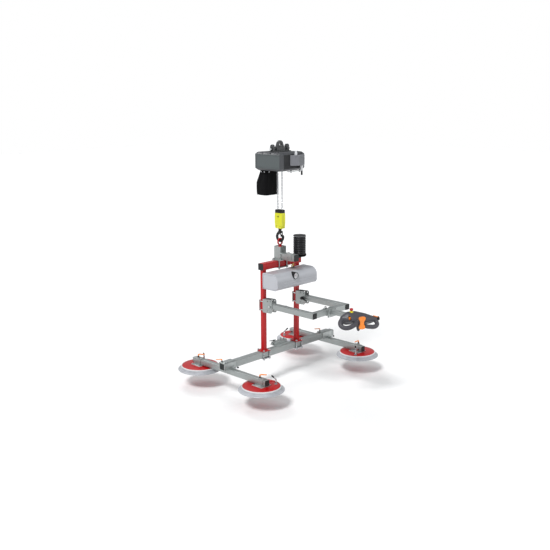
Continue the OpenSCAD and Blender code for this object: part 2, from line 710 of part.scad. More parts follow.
module arm_brackets() color(zinc) raise(pivot_z) for (side = [-1, 1]) translate([side * column_x, 0, 0]) {
    wide = 2 * (clamp_in + clamp_t);
    translate([-wide / 2, -column_w / 2 - 12, bracket_back[2]])
        cube([wide, 12, bracket_back[1] - bracket_back[2]]);
    difference() {
        union() {
            for (s = [-1, 1]) translate([s * (clamp_in + clamp_t / 2), 0, 0]) rotate([90, 0, 90])
                linear_extrude(clamp_t, center = true) bracket_outline();
            translate([0, -pivot_y, 0]) along_x() cylinder(r = pin_r, h = wide + 8, center = true, $fn = 48);
            translate([side * (wide / 2 + 2), -pivot_y, 0]) along_x()
                cylinder(r = 13, h = 6, center = true, $fn = 48);
        }
        translate([-side * (wide / 2 + 4), -pivot_y, 0]) along_x()
            cylinder(r = 4 + fit, h = 40, center = true, $fn = 32);
    }
}
module bracket_outline() difference() {
    inside = bracket_r - bracket_front[0];
    high = bracket_front[1] - bracket_r;
    low = bracket_front[2] + bracket_r;
    union() {
        polygon([[-bracket_back[0], bracket_back[1]], [inside, bracket_front[1]], [-bracket_front[0], high],
            [-bracket_front[0], low], [inside, bracket_front[2]], [-bracket_back[0], bracket_back[2]]]);
        for (z = [high, low]) translate([inside, z]) circle(r = bracket_r, $fn = 48);
    }
    for (p = index_at) for (side = [-1, 1]) translate([-pivot_y - p[0], side * p[1]])
        circle(r = 6.5, $fn = 40);
}

// Handles that lock the pivots, on the inner sides of the brackets
module tilt_levers() color(black) raise(pivot_z) translate([0, -pivot_y, 0]) {
    inner = column_x - clamp_in - clamp_t - 4 - loose;
    for (side = [-1, 1]) {
        translate([side * inner, 0, 0]) rotate([0, side * 90, 0]) cylinder(r = 4, h = 18, $fn = 32);
        translate([side * inner, 0, 0]) rotate([0, -side * 90, 0])
            cylinder(r1 = 15, r2 = 12, h = 22, $fn = 48);
    }
    translate([-inner + 12, 0, 0]) rotate([85, 0, 0]) cylinder(d1 = 15, d2 = 10, h = 140, $fn = 32);
    translate([-inner + 12, 0, 0]) rotate([85, 0, 0]) translate([0, 0, 140]) sphere(d = 12, $fn = 32);
    translate([inner - 12, 0, 0]) rotate([106, 0, 0]) cylinder(d1 = 15, d2 = 11, h = 62, $fn = 32);
    translate([inner - 12, 0, 0]) rotate([106, 0, 0]) translate([0, 0, 62]) sphere(d = 13, $fn = 32);
}

module steering_frame() color(zinc) raise(pivot_z) {
    arm = reach - pivot_y + 30;
    for (side = [-1, 1]) translate([side * column_x, 0, 0]) difference() {
        union() {
            translate([0, -reach + arm / 2, 0]) along_y() tube(arm, frame_w);
            translate([0, -pivot_y, 0]) along_x() cylinder(r = 13, h = frame_w, center = true, $fn = 48);
        }
        translate([0, -pivot_y, 0]) along_x()
            cylinder(r = pin_r + fit, h = frame_w + 2, center = true, $fn = 48);
    }
    translate([0, tube_y, 0]) along_x() tube(column_gap - frame_w, frame_w);
}
module steering_caps() color(black) raise(pivot_z) for (side = [-1, 1]) translate([side * column_x, 0, 0]) {
    translate([0, -reach, 0]) rotate([90, 0, 0]) cap(frame_w);
    translate([0, -pivot_y + 30, 0]) rotate([-90, 0, 0]) cap(frame_w);
}

// Slide on the cross tube, the tube towards the operator and the fork that holds the handle
module handle_stem() color(zinc) raise(pivot_z) {
    hole = frame_w + 2 * slide_gap;
    difference() {
        for (side = [-1, 1]) translate([side * strap_x, tube_y, 0]) along_x() difference() {
            linear_extrude(28, center = true) polygon(round_rect(hole + 10, hole + 10, corner_r + 5));
            linear_extrude(30, center = true) polygon(round_rect(hole, hole, corner_r));
        }
        translate([-strap_x, tube_y, hole / 2 - 1])
            cylinder(d = stem_lever_d * 0.7 + 2 * fit, h = 8, $fn = 32);
    }
    front = tube_y - hole / 2 - 5;
    translate([-55, front - 8, -44]) cube([110, 8, 73]);
    translate([0, (front - 7 - swivel_y + 40) / 2, 0]) along_y() tube(swivel_y - 40 + front - 7, stem_w);
    for (side = [-1, 1]) translate([0, -swivel_y, side * (stem_w / 2 - fork_t / 2)]) {
        cylinder(r = stem_w / 2, h = fork_t, center = true, $fn = 64);
        translate([-stem_w / 2, 0, -fork_t / 2]) cube([stem_w, 41, fork_t]);
    }
    translate([0, -swivel_y + 34, 0]) cube([stem_w - 2, 12, stem_w - 2], center = true);
    translate([0, -swivel_y, 0]) cylinder(r = swivel_r, h = stem_w + 6, center = true, $fn = 64);
}
module stem_lever() color(black) raise(pivot_z)
    translate([-strap_x, tube_y, frame_w / 2 + slide_gap + 5 + loose]) rotate([0, 0, 180])
        clamp_lever(26, stem_lever_d, 5 + loose);

// Handle, drawn as [across, towards the operator, up] from the swivel at the height of the arms

module at_handle() raise(pivot_z) translate([0, -swivel_y, 0]) rotate([0, 0, -handle_turn])
    mirror([0, 1, 0]) children();
module ball(p, r) translate(p) sphere(r = r, $fn = 28);

// Smooth curve through a list of points, n steps from each to the next
function curve(p, n) = concat([for (i = [0:len(p) - 2]) for (k = [0:n - 1])
    let(a = p[max(i - 1, 0)], b = p[i], c = p[i + 1], d = p[min(i + 2, len(p) - 1)], t = k / n)
    (2 * b + (c - a) * t + (2 * a - 5 * b + 4 * c - d) * t * t + (3 * b - a - 3 * c + d) * t * t * t) / 2],
    [p[len(p) - 1]]);
left_bow = [[-150, 62, 6], [-168, 74, -12], [-172, 92, -32], [-158, 112, -46], [-132, 126, -50],
    [-100, 130, -45], [-68, 128, -33], [-38, 120, -20], [-10, 104, -8]];
right_bow = [[158, 62, -22], [170, 80, -42], [165, 98, -58], [146, 112, -66], [118, 121, -67],
    [88, 125, -62], [58, 125, -56], [30, 118, -46], [6, 104, -34]];
rocker_z = -15;
rocker_back = 137;
rocker_pin = [0, 122, rocker_z];
switch_at = [-93, 88, 21];
stop_at = [-58, 56, 58];
knob_at = [182, 60, -16];
strip_at = [170, 60, 4];
strip_turn = 17;
strip = [48, 24, 8];

module at_strip() translate(strip_at) rotate([0, strip_turn, 0]) children();
module handle_body() color([0.22, 0.22, 0.25]) at_handle() difference() {
    union() {
        hull() {
            ball([-128, 50, 12], 30);
            ball([-85, 52, 31], 37);
            ball([-30, 52, 34], 35);
            ball([60, 60, 10], 33);
            ball([118, 60, -8], 27);
            ball([170, 60, -20], 18);
            ball([-70, 95, 10], 26);
            ball([40, 98, -5], 26);
            ball([0, 60, -28], 26);
        }
        hull() {
            ball([0, 94, 0], 28);
            ball([0, 96, -45], 24);
            ball([-10, 94, -86], 12);
            ball([0, 70, -30], 26);
        }
        hull() {
            ball([-125, 46, 5], 28);
            ball([-85, 48, 10], 30);
            ball([-30, 50, 5], 28);
            ball([-138, 42, -14], 22);
            ball([-100, 40, -27], 21);
            ball([-45, 44, -25], 23);
        }
        hull() {
            ball([60, 55, 0], 28);
            ball([118, 55, -12], 24);
            ball([60, 44, -36], 22);
            ball([115, 44, -40], 20);
            ball([150, 50, -30], 18);
        }
        sweep(curve(left_bow, 3), grip_d / 2, 16);
        sweep(curve(right_bow, 3), grip_d / 2 - 1, 16);
        cylinder(r = 2 * swivel_r, h = boss_h, center = true, $fn = 64);
        translate([-20, 0, -boss_h / 2]) cube([40, 50, boss_h]);
        translate([-26, 80, rocker_z - 24]) cube([52, 50, 48]);
        at_strip() translate([-20, -9, -20 - strip[2] / 2]) cube([40, 18, 20]);
    }
    at_strip() translate([-strip[0] / 2 - loose, -strip[1] / 2 - loose, -strip[2] / 2])
        cube([strip[0] + 2 * loose, strip[1] + 2 * loose, 20]);
    cylinder(r = swivel_r + fit, h = 60, center = true, $fn = 64);
    translate([-34, rocker_back - 7, rocker_z - 58]) cube([68, 40, 116]);
    translate([-8.4, 110, rocker_z - 15]) cube([16.8, 30, 30]);
    translate(rocker_pin) along_x() cylinder(r = 3 + fit, h = 41, center = true, $fn = 40);
    translate(switch_at + [-9, 0, -17]) cube([18, 40, 34]);
    translate(switch_at + [-3.4, -12, -11]) cube([6.8, 20, 22]);
    translate(stop_at) cylinder(r = 17, h = 40, $fn = 64);
    translate(stop_at + [0, 0, -8]) cylinder(r = 7, h = 20, $fn = 48);
    translate(knob_at) along_x() cylinder(r = 19.4, h = 40, $fn = 64);
}

module side_knob() color(black) at_handle() {
    translate(knob_at) along_x() cylinder(r = 19, h = 16, $fn = 64);
    translate(knob_at + [16, 0, 0]) along_x() cylinder(r1 = 19, r2 = 13, h = 5, $fn = 64);
    at_strip() cube(strip, center = true);
}

// Rocker for up and down, wide at both ends
module lift_rocker() color(orange) at_handle() {
    translate([0, rocker_back, rocker_z]) mirror([0, 1, 0]) rotate([90, 0, 0]) linear_extrude(13)
        polygon([[-17, 0], [-19, 14], [-29, 30], [-30, 44], [-22, 53], [22, 53], [30, 44], [29, 30], [19, 14],
            [17, 0], [18, -16], [26, -30], [27, -44], [20, -53], [-20, -53], [-27, -44], [-26, -30],
            [-18, -16]]);
    translate([-8, rocker_pin[1] - 5, rocker_z - 9]) cube([16, rocker_back - rocker_pin[1] + 6, 18]);
    translate(rocker_pin) along_x() cylinder(r = 3, h = 40, center = true, $fn = 40);
}

module suction_switch() color(orange) at_handle() {
    translate(switch_at + [-7, loose, -11]) cube([14, 14, 22]);
    translate(switch_at + [-3, -10, -5]) cube([6, 12, 10]);
}

module stop_base() color([0.85, 0.8, 0.1]) at_handle() translate(stop_at) difference() {
    cylinder(r = 16.6, h = 15, $fn = 64);
    translate([0, 0, -1]) cylinder(r = 6 + fit, h = 17, $fn = 48);
}
module stop_button() color(red) at_handle() translate(stop_at) {
    translate([0, 0, 1]) cylinder(r = 6, h = 19, $fn = 48);
    translate([0, 0, 19.5]) cylinder(r1 = 12, r2 = 15.5, h = 9, $fn = 64);
    translate([0, 0, 28.5]) cylinder(r = 15.5, h = 6, $fn = 64);
    translate([0, 0, 34.5]) cylinder(r1 = 15.5, r2 = 11, h = 4.5, $fn = 64);
}

// Cross beams with the saddles that slide on the main beam

module cross_beam(side) color(zinc) raise() translate([side * cross_at, 0, 0]) {
    translate([0, 0, cross_z + cross_w / 2]) along_y() tube(cross_l, cross_w);
    for (end = [-1, 1]) translate([0, end * cross_l / 2, cross_z + cross_w / 2]) rotate([-end * 90, 0, 0])
        cap(cross_w);
    for (s = [-1, 1]) translate([saddle_x[0], s * (saddle_in + 3) - 3, cross_top])
        cube([saddle_l, 6, saddle_top - cross_top]);
    difference() {
        union() {
            translate([saddle_x[0], -saddle_in - 6, saddle_top - 6]) cube([saddle_l, 2 * saddle_in + 12, 6]);
            translate([saddle_lever[0], saddle_lever[1], saddle_top - 1]) cylinder(d = 20, h = 6, $fn = 40);
        }
        translate([saddle_lever[0], saddle_lever[1], saddle_top - 8])
            cylinder(d = cross_lever_d * 0.7 + 2 * fit, h = 20, $fn = 40);
    }
    for (x = [-64, -36]) translate([x, -18, saddle_top]) nut(8, 6);
    translate([0, -62, cross_top]) cylinder(d = 16, h = 15, $fn = 40);
    translate([0, -62, cross_top + 8]) along_x() cylinder(d = 8, h = saddle_x[1], $fn = 32);
    translate([saddle_x[1], -62, cross_top + 8]) sphere(d = 16, $fn = 40);
}
cross_lever_d = 10;
module cross_lever(side) color(orange) raise(saddle_top + 5 + loose)
    translate([side * cross_at + saddle_lever[0], saddle_lever[1], 0]) rotate([0, 0, 135])
        clamp_lever(50, cross_lever_d, 11 + loose);

// Suction pads, each given by its signs along X and Y

module at_pad(way) raise() translate([way[0] * cross_at, way[1] * pad_at, 0]) children();
module at_valve(way) at_pad(way) translate([-way[0] * valve_at[0], way[1] * valve_at[1], 0])
    rotate([0, 0, atan2(-way[1], way[0])]) children();

module pad_disc(way) color(red) {
    at_pad(way) {
        translate([0, 0, pad_h - disc_t]) cylinder(r = disc_r, h = disc_t - 2, $fn = 128);
        translate([0, 0, pad_h - 2]) cylinder(r1 = disc_r, r2 = disc_r - 2, h = 2, $fn = 128);
        translate([-foot_w / 2, -foot_w / 2, pad_h]) cube([foot_w, foot_w, foot_t]);
        for (x = [-1, 1]) for (y = [-1, 1])
            translate([x * (foot_w / 2 - 12), y * (foot_w / 2 - 12), pad_h + foot_t])
            nut(8, 6);
        difference() {
            union() {
                translate([0, 0, cross_z + cross_w / 2]) along_y() linear_extrude(sleeve_l, center = true)
                    difference() {
                        polygon(round_rect(sleeve_w, sleeve_w, corner_r + sleeve_t));
                        polygon(round_rect(cross_w + 2 * slide_gap, cross_w + 2 * slide_gap, corner_r));
                    }
                translate([way[0] * lever_out, 0, sleeve_top - 1]) cylinder(d = 24, h = boss_t + 1, $fn = 48);
            }
            translate([way[0] * lever_out, 0, cross_top])
                cylinder(d = lever_d * 0.7 + 2 * fit, h = 30, $fn = 40);
        }
        translate([-way[0] * (sleeve_w / 2 - 1), way[1] * 34, valve_z - 12])
            rotate([0, 90, atan2(way[1] * (valve_at[1] - 34), -way[0] * (valve_at[0] - sleeve_w / 2))])
                cylinder(d = 7, h = norm([valve_at[0] - sleeve_w / 2, valve_at[1] - 34]), $fn = 24);
    }
    at_valve(way) {
        translate([0, 0, pad_h - 1]) cylinder(d1 = 26, d2 = 18, h = 12, $fn = 40);
        translate([0, 0, pad_h]) cylinder(d = 14, h = valve_z - pad_h - 8, $fn = 40);
        difference() {
            union() {
                translate([-6, -3, valve_z - 10]) cube([12, 6, 10]);
                translate([0, 0, valve_z]) along_y() cylinder(r = 6, h = 6, center = true, $fn = 40);
            }
            translate([0, 0, valve_z]) along_y() cylinder(r = 3 + fit, h = 8, center = true, $fn = 40);
        }
    }
}
module pad_lip(way) color([0.6, 0.6, 0.63]) at_pad(way) rotate_extrude($fn = 128) {
    low = pad_h - disc_t;
    polygon([[disc_r - 24, low - 8], [lip_r - 35, 16], [lip_r - 7, 0], [lip_r, 0], [lip_r, 5],
        [disc_r + 8, low], [disc_r + 6, pad_h], [disc_r + 0.5, pad_h], [disc_r + 0.5, low],
        [disc_r - 24, low]]);
}
module pad_lever(i) color(orange) at_pad(pad_ways[i])
    translate([pad_ways[i][0] * lever_out, 0, sleeve_top + boss_t + loose])
    rotate([0, 0, pad_lever_turn[i]]) clamp_lever(56, lever_d, boss_t + sleeve_t + loose);

// Valve lever that leans back over the pad
module pad_valve(way) color(black) at_valve(way) translate([0, 0, valve_z]) rotate([0, -45, 0]) {
    along_y() cylinder(r = 3, h = 14, center = true, $fn = 32);
    for (s = [-1, 1]) translate([0, s * 5, 0]) {
        along_y() cylinder(r = 7, h = 3, center = true, $fn = 40);
        translate([0, -1.5, -4]) cube([16, 3, 8]);
    }
    translate([10, -6.5, -4]) cube([6, 13, 8]);
    translate([14, 0, 0]) along_x() cylinder(d = 8, h = 12, $fn = 32);
    translate([24, 0, 0]) along_x() cylinder(d = 14, h = 28, $fn = 40);
}

hoist_housing();
hoist_fittings();
suspension_eye();
control_box();
chain_bag();
load_wheel();
chain();
block_shells();
block_guide();
block_sheave();
hook();
hook_latch();
main_beam();
tube_caps();
column_frame();
frame_rods();
pump_cover();
pump_tray();
vacuum_pump();
battery();
gauge();
gauge_needle();
suspension_post();
lifting_ring();
coil_holder();
spiral_cable();
vacuum_manifold();
manifold_lever();
arm_brackets();
tilt_levers();
steering_frame();
steering_caps();
handle_stem();
stem_lever();
handle_body();
side_knob();
lift_rocker();
suction_switch();
stop_base();
stop_button();
cross_beam(-1);  // cross_beam_left
cross_beam(1);  // cross_beam_right
cross_lever(-1);  // cross_lever_left
cross_lever(1);  // cross_lever_right
pad_disc(pad_ways[0]);  // pad_disc_front_left
pad_disc(pad_ways[1]);  // pad_disc_back_left
pad_disc(pad_ways[2]);  // pad_disc_front_right
pad_disc(pad_ways[3]);  // pad_disc_back_right
pad_lip(pad_ways[0]);  // pad_lip_front_left
pad_lip(pad_ways[1]);  // pad_lip_back_left
pad_lip(pad_ways[2]);  // pad_lip_front_right
pad_lip(pad_ways[3]);  // pad_lip_back_right
pad_lever(0);  // pad_lever_front_left
pad_lever(1);  // pad_lever_back_left
pad_lever(2);  // pad_lever_front_right
pad_lever(3);  // pad_lever_back_right
pad_valve(pad_ways[0]);  // pad_valve_front_left
pad_valve(pad_ways[1]);  // pad_valve_back_left
pad_valve(pad_ways[2]);  // pad_valve_front_right
pad_valve(pad_ways[3]);  // pad_valve_back_right
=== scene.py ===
"""Glass panel lifter on a chain hoist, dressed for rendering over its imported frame."""

import math

import bmesh
import bpy
from mathutils import Matrix, Vector


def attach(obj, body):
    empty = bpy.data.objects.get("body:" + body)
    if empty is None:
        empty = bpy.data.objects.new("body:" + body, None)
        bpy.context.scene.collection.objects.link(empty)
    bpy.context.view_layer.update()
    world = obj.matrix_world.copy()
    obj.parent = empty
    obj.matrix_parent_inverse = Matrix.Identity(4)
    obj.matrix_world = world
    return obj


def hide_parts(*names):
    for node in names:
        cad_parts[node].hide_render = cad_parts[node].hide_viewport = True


bl_info = {
    "name": "Glass panel lifter",
    "version": (1, 0, 0),
    "blender": (4, 5, 0),
    "location": "3D View > Sidebar > Lifter",
    "description": "Models and finishes the pieces of a vacuum lifter for glass panels",
    "category": "Object",
}

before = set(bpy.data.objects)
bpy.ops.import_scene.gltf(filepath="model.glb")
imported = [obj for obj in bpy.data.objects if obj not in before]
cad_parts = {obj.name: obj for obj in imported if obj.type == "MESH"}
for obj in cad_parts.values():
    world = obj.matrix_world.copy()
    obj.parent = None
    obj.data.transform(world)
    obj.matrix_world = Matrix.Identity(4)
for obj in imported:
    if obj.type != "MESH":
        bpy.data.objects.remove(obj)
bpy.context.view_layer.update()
MM = 0.001
# Places in millimetres, with heights counted from the pads' underside
EYE = 2019.5
HOIST_FOOT, HOIST_TOP = 1797.5, 1957.5
COLUMN_X = 219
CROSS_X, PAD_Y = 650, 400
PIVOT_Y, PIVOT_Z = -110, 600
SWIVEL_Y = -877
GAUGE_AT = (-28, -228, 864.8)
COVER_FOOT, COVER_BACK = 756.8, -33
VALVE_AT = (-38, 53, 199.1)
CROSS_HALF, CROSS_LOW, CROSS_TOP, CROSS_END = 25, 48.4, 98.4, 468
LID_TOP = 165.2
CAMERA_AT = (-5191.4, -5008.1, 2445.2)
FLOOR_Z = -155  # the pads come down to -143 where the block is lowest and the lifter swings
CORNERS = ((-1, -1), (-1, 1), (1, -1), (1, 1))
PADS = {"front_left": (-1, -1), "back_left": (-1, 1), "front_right": (1, -1), "back_right": (1, 1)}


class LifterSizes(bpy.types.PropertyGroup):
    panel_inset: bpy.props.FloatProperty(
        name="Panel inset", description="Border round the sunk panel on the hoist's ends", default=0.007,
        min=0.004, max=0.03, unit="LENGTH")
    coil_radius: bpy.props.FloatProperty(
        name="Coil radius", description="Radius of the spiral cable at the cable's middle", default=0.050,
        min=0.046, max=0.054, unit="LENGTH")
    cable: bpy.props.FloatProperty(
        name="Cable", description="Diameter of the spiral cable", default=0.0156,
        min=0.013, max=0.0156, unit="LENGTH")
    turns: bpy.props.IntProperty(
        name="Turns", description="Turns of the spiral cable", default=10, min=6, max=11)
    voxel: bpy.props.FloatProperty(
        name="Handle detail", description="Voxel size of the moulded handle", default=0.0022,
        min=0.0015, max=0.005, unit="LENGTH")
    weave: bpy.props.FloatProperty(
        name="Weave", description="Width of a thread in the chain bag's cloth", default=0.0016,
        min=0.0008, max=0.004, unit="LENGTH")


def colour(label, about, value):
    return bpy.props.FloatVectorProperty(
        name=label, description=about, default=value, min=0, max=1, size=3, subtype="COLOR")


class LifterColours(bpy.types.PropertyGroup):
    red: colour("Red", "Powder coat of the frame and the pads", (0.43, 0.002, 0.004))
    zinc: colour("Zinc", "Plated square tubes", (0.37, 0.395, 0.39))
    silver: colour("Silver", "Pump cover", (0.40, 0.41, 0.44))
    hoist: colour("Hoist", "Hoist's body", (0.060, 0.063, 0.069))
    panel: colour("Hoist panel", "Sunk end panel of the hoist", (0.080, 0.094, 0.096))
    yellow: colour("Block", "Hook block", (0.62, 0.62, 0.004))
    orange: colour("Orange", "Levers and rocker", (0.85, 0.23, 0.012))
    handle: colour("Handle", "Moulded handle", (0.062, 0.060, 0.070))
    rubber: colour("Rubber", "Lips of the suction pads", (0.36, 0.37, 0.40))


# Shader nodes


class Wire:
    """An output socket that takes part in sums and products."""

    def __init__(self, look, socket):
        self.look = look
        self.socket = socket

    def _math(self, operation, first, second):
        return self.look.node("ShaderNodeMath", {"operation": operation}, first, second)

    def __add__(self, other):
        return self._math("ADD", self, other)

    def __radd__(self, other):
        return self._math("ADD", other, self)

    def __mul__(self, other):
        return self._math("MULTIPLY", self, other)


class Look:
    """One material: a principled shader and the nodes that vary it."""

    made = {}

    def __init__(self, name, base=(0.5, 0.5, 0.5), rough=0.5, metal=0.0, coat=0.0, sheen=0.0):
        self.material = bpy.data.materials.new(name)
        self.material.use_nodes = True
        self.nodes = self.material.node_tree.nodes
        self.links = self.material.node_tree.links
        self.shader = self.nodes["Principled BSDF"]
        for socket, value in (("Base Color", tuple(base) + (1.0,)), ("Roughness", rough), ("Metallic", metal),
                              ("Coat Weight", coat), ("Sheen Weight", sheen)):
            self.shader.inputs[socket].default_value = value
        self.shader.inputs["Coat Roughness"].default_value = 0.12
        Look.made[name] = self

    def node(self, kind, settings=None, *values, out=0, **named):
        """Adds a node, gives it its settings first and then the values or links of its sockets."""
        made = self.nodes.new(kind)
        for key, value in (settings or {}).items():
            if key == "stops":
                ramp = made.color_ramp.elements
                while len(ramp) < len(value):
                    ramp.new(1.0)
                for element, (place, shade) in zip(ramp, value):
                    element.position = place
                    element.color = shade if len(shade) == 4 else tuple(shade) + (1.0,)
            else:
                setattr(made, key, value)
        for key, value in list(enumerate(values)) + [(k.replace("_", " "), v) for k, v in named.items()]:
            socket = made.inputs[key]
            if isinstance(value, Wire):
                self.links.new(value.socket, socket)
            elif value is not None:
                socket.default_value = value
        return Wire(self, made.outputs[out])

    def place(self):
        return self.node("ShaderNodeTexCoord", out="Object")

    def map(self):
        return self.node("ShaderNodeTexCoord", out="UV")

    def noise(self, scale, detail=2.0, where=None, stretch=None):
        where = where or self.place()
        if stretch:
            where = self.node("ShaderNodeMapping", None, Vector=where, Scale=stretch)
        return self.node("ShaderNodeTexNoise", None, out="Fac", Vector=where, Scale=scale, Detail=detail,
                         Roughness=0.55)

    def cells(self, scale, out="Distance", where=None):
        return self.node("ShaderNodeTexVoronoi", None, out=out, Vector=where or self.place(), Scale=scale)

    def blend(self, mask, first, second):
        """Mixes two colours, each a wire or three numbers."""
        made = self.nodes.new("ShaderNodeMix")
        made.data_type = "RGBA"
        for socket, value in ((made.inputs[0], mask), (made.inputs[6], first), (made.inputs[7], second)):
            if isinstance(value, Wire):
                self.links.new(value.socket, socket)
            else:
                socket.default_value = value if isinstance(value, float) else tuple(value) + (1.0,)
        return Wire(self, made.outputs[2])

    def spread(self, wire, low, high):
        """Stretches the part of wire between low and high over 0 to 1."""
        return self.node("ShaderNodeMapRange", {"clamp": True}, wire, low, high, 0.0, 1.0)

    def drive(self, **wires):
        for key, value in wires.items():
            self.links.new(value.socket, self.shader.inputs[key.replace("_", " ")])
        return self

    def bump(self, height, strength=0.2, depth=0.001):
        normal = self.node("ShaderNodeBump", None, out="Normal", Strength=strength, Distance=depth,
                           Height=height)
        self.links.new(normal.socket, self.shader.inputs["Normal"])
        return self


def shade(base, factor):
    return tuple(min(1.0, c * factor) for c in base)


def powder(name, base, rough=0.34, coat=0.25, grain=900.0, depth=0.0003, vary=0.10):
    """Powder coat or satin paint: orange peel, faint mottling and rubbed patches."""
    look = Look(name, base, rough, 0.0, coat)
    cloud = look.noise(6.0, 4.0)
    peel = look.noise(grain, 2.0)
    rubbed = look.spread(look.noise(38.0, 6.0), 0.60, 0.78)
    tone = look.blend(cloud, shade(base, 1 - vary), shade(base, 1 + vary))
    look.drive(Base_Color=look.blend(rubbed * 0.35, tone, shade(base, 1.25)),
               Roughness=rough - 0.06 + cloud * 0.12 + rubbed * 0.10)
    return look.bump(peel, 0.16, depth)


def plated(name, base, rough=0.34, scale=70.0, metal=0.75):
    """Zinc plate with a soft spangle and a cloudy haze."""
    look = Look(name, base, rough, metal, 0.0)
    flake = look.cells(scale, "Color")
    tone = look.node("ShaderNodeSeparateColor", None, flake)
    cloud = look.noise(9.0, 5.0)
    mask = tone * 0.45 + cloud * 0.55
    look.drive(Base_Color=look.blend(mask, shade(base, 0.92), shade(base, 1.08)),
               Roughness=rough - 0.05 + mask * 0.14)
    return look.bump(look.noise(420.0, 3.0), 0.08, 0.0003)


def moulded(name, base, rough=0.48, grain=520.0, depth=0.0004, coat=0.0, strength=0.25):
    """Moulded plastic with a spark-eroded grain."""
    look = Look(name, base, rough, 0.0, coat)
    grains = look.cells(grain)
    cloud = look.noise(11.0, 3.0)
    scuff = look.spread(look.noise(60.0, 8.0, stretch=(1.0, 1.0, 0.35)), 0.62, 0.74)
    look.drive(Base_Color=look.blend(scuff * 0.30, look.blend(cloud, shade(base, 0.88), shade(base, 1.12)),
                                     shade(base, 1.6)),
               Roughness=rough - 0.05 + cloud * 0.10 + scuff * 0.08)
    return look.bump(grains, strength, depth)


def machined(name, base, rough=0.28, axis=(1.0, 1.0, 30.0), metal=1.0):
    """Machined or rolled metal with fine lines and dull spots."""
    look = Look(name, base, rough, metal)
    lines = look.noise(90.0, 3.0, stretch=axis)
    spots = look.noise(26.0, 5.0)
    look.drive(Base_Color=look.blend(spots, shade(base, 0.8), shade(base, 1.15)),
               Roughness=rough - 0.06 + lines * 0.10 + spots * 0.08)
    return look.bump(lines, 0.10, 0.0002)


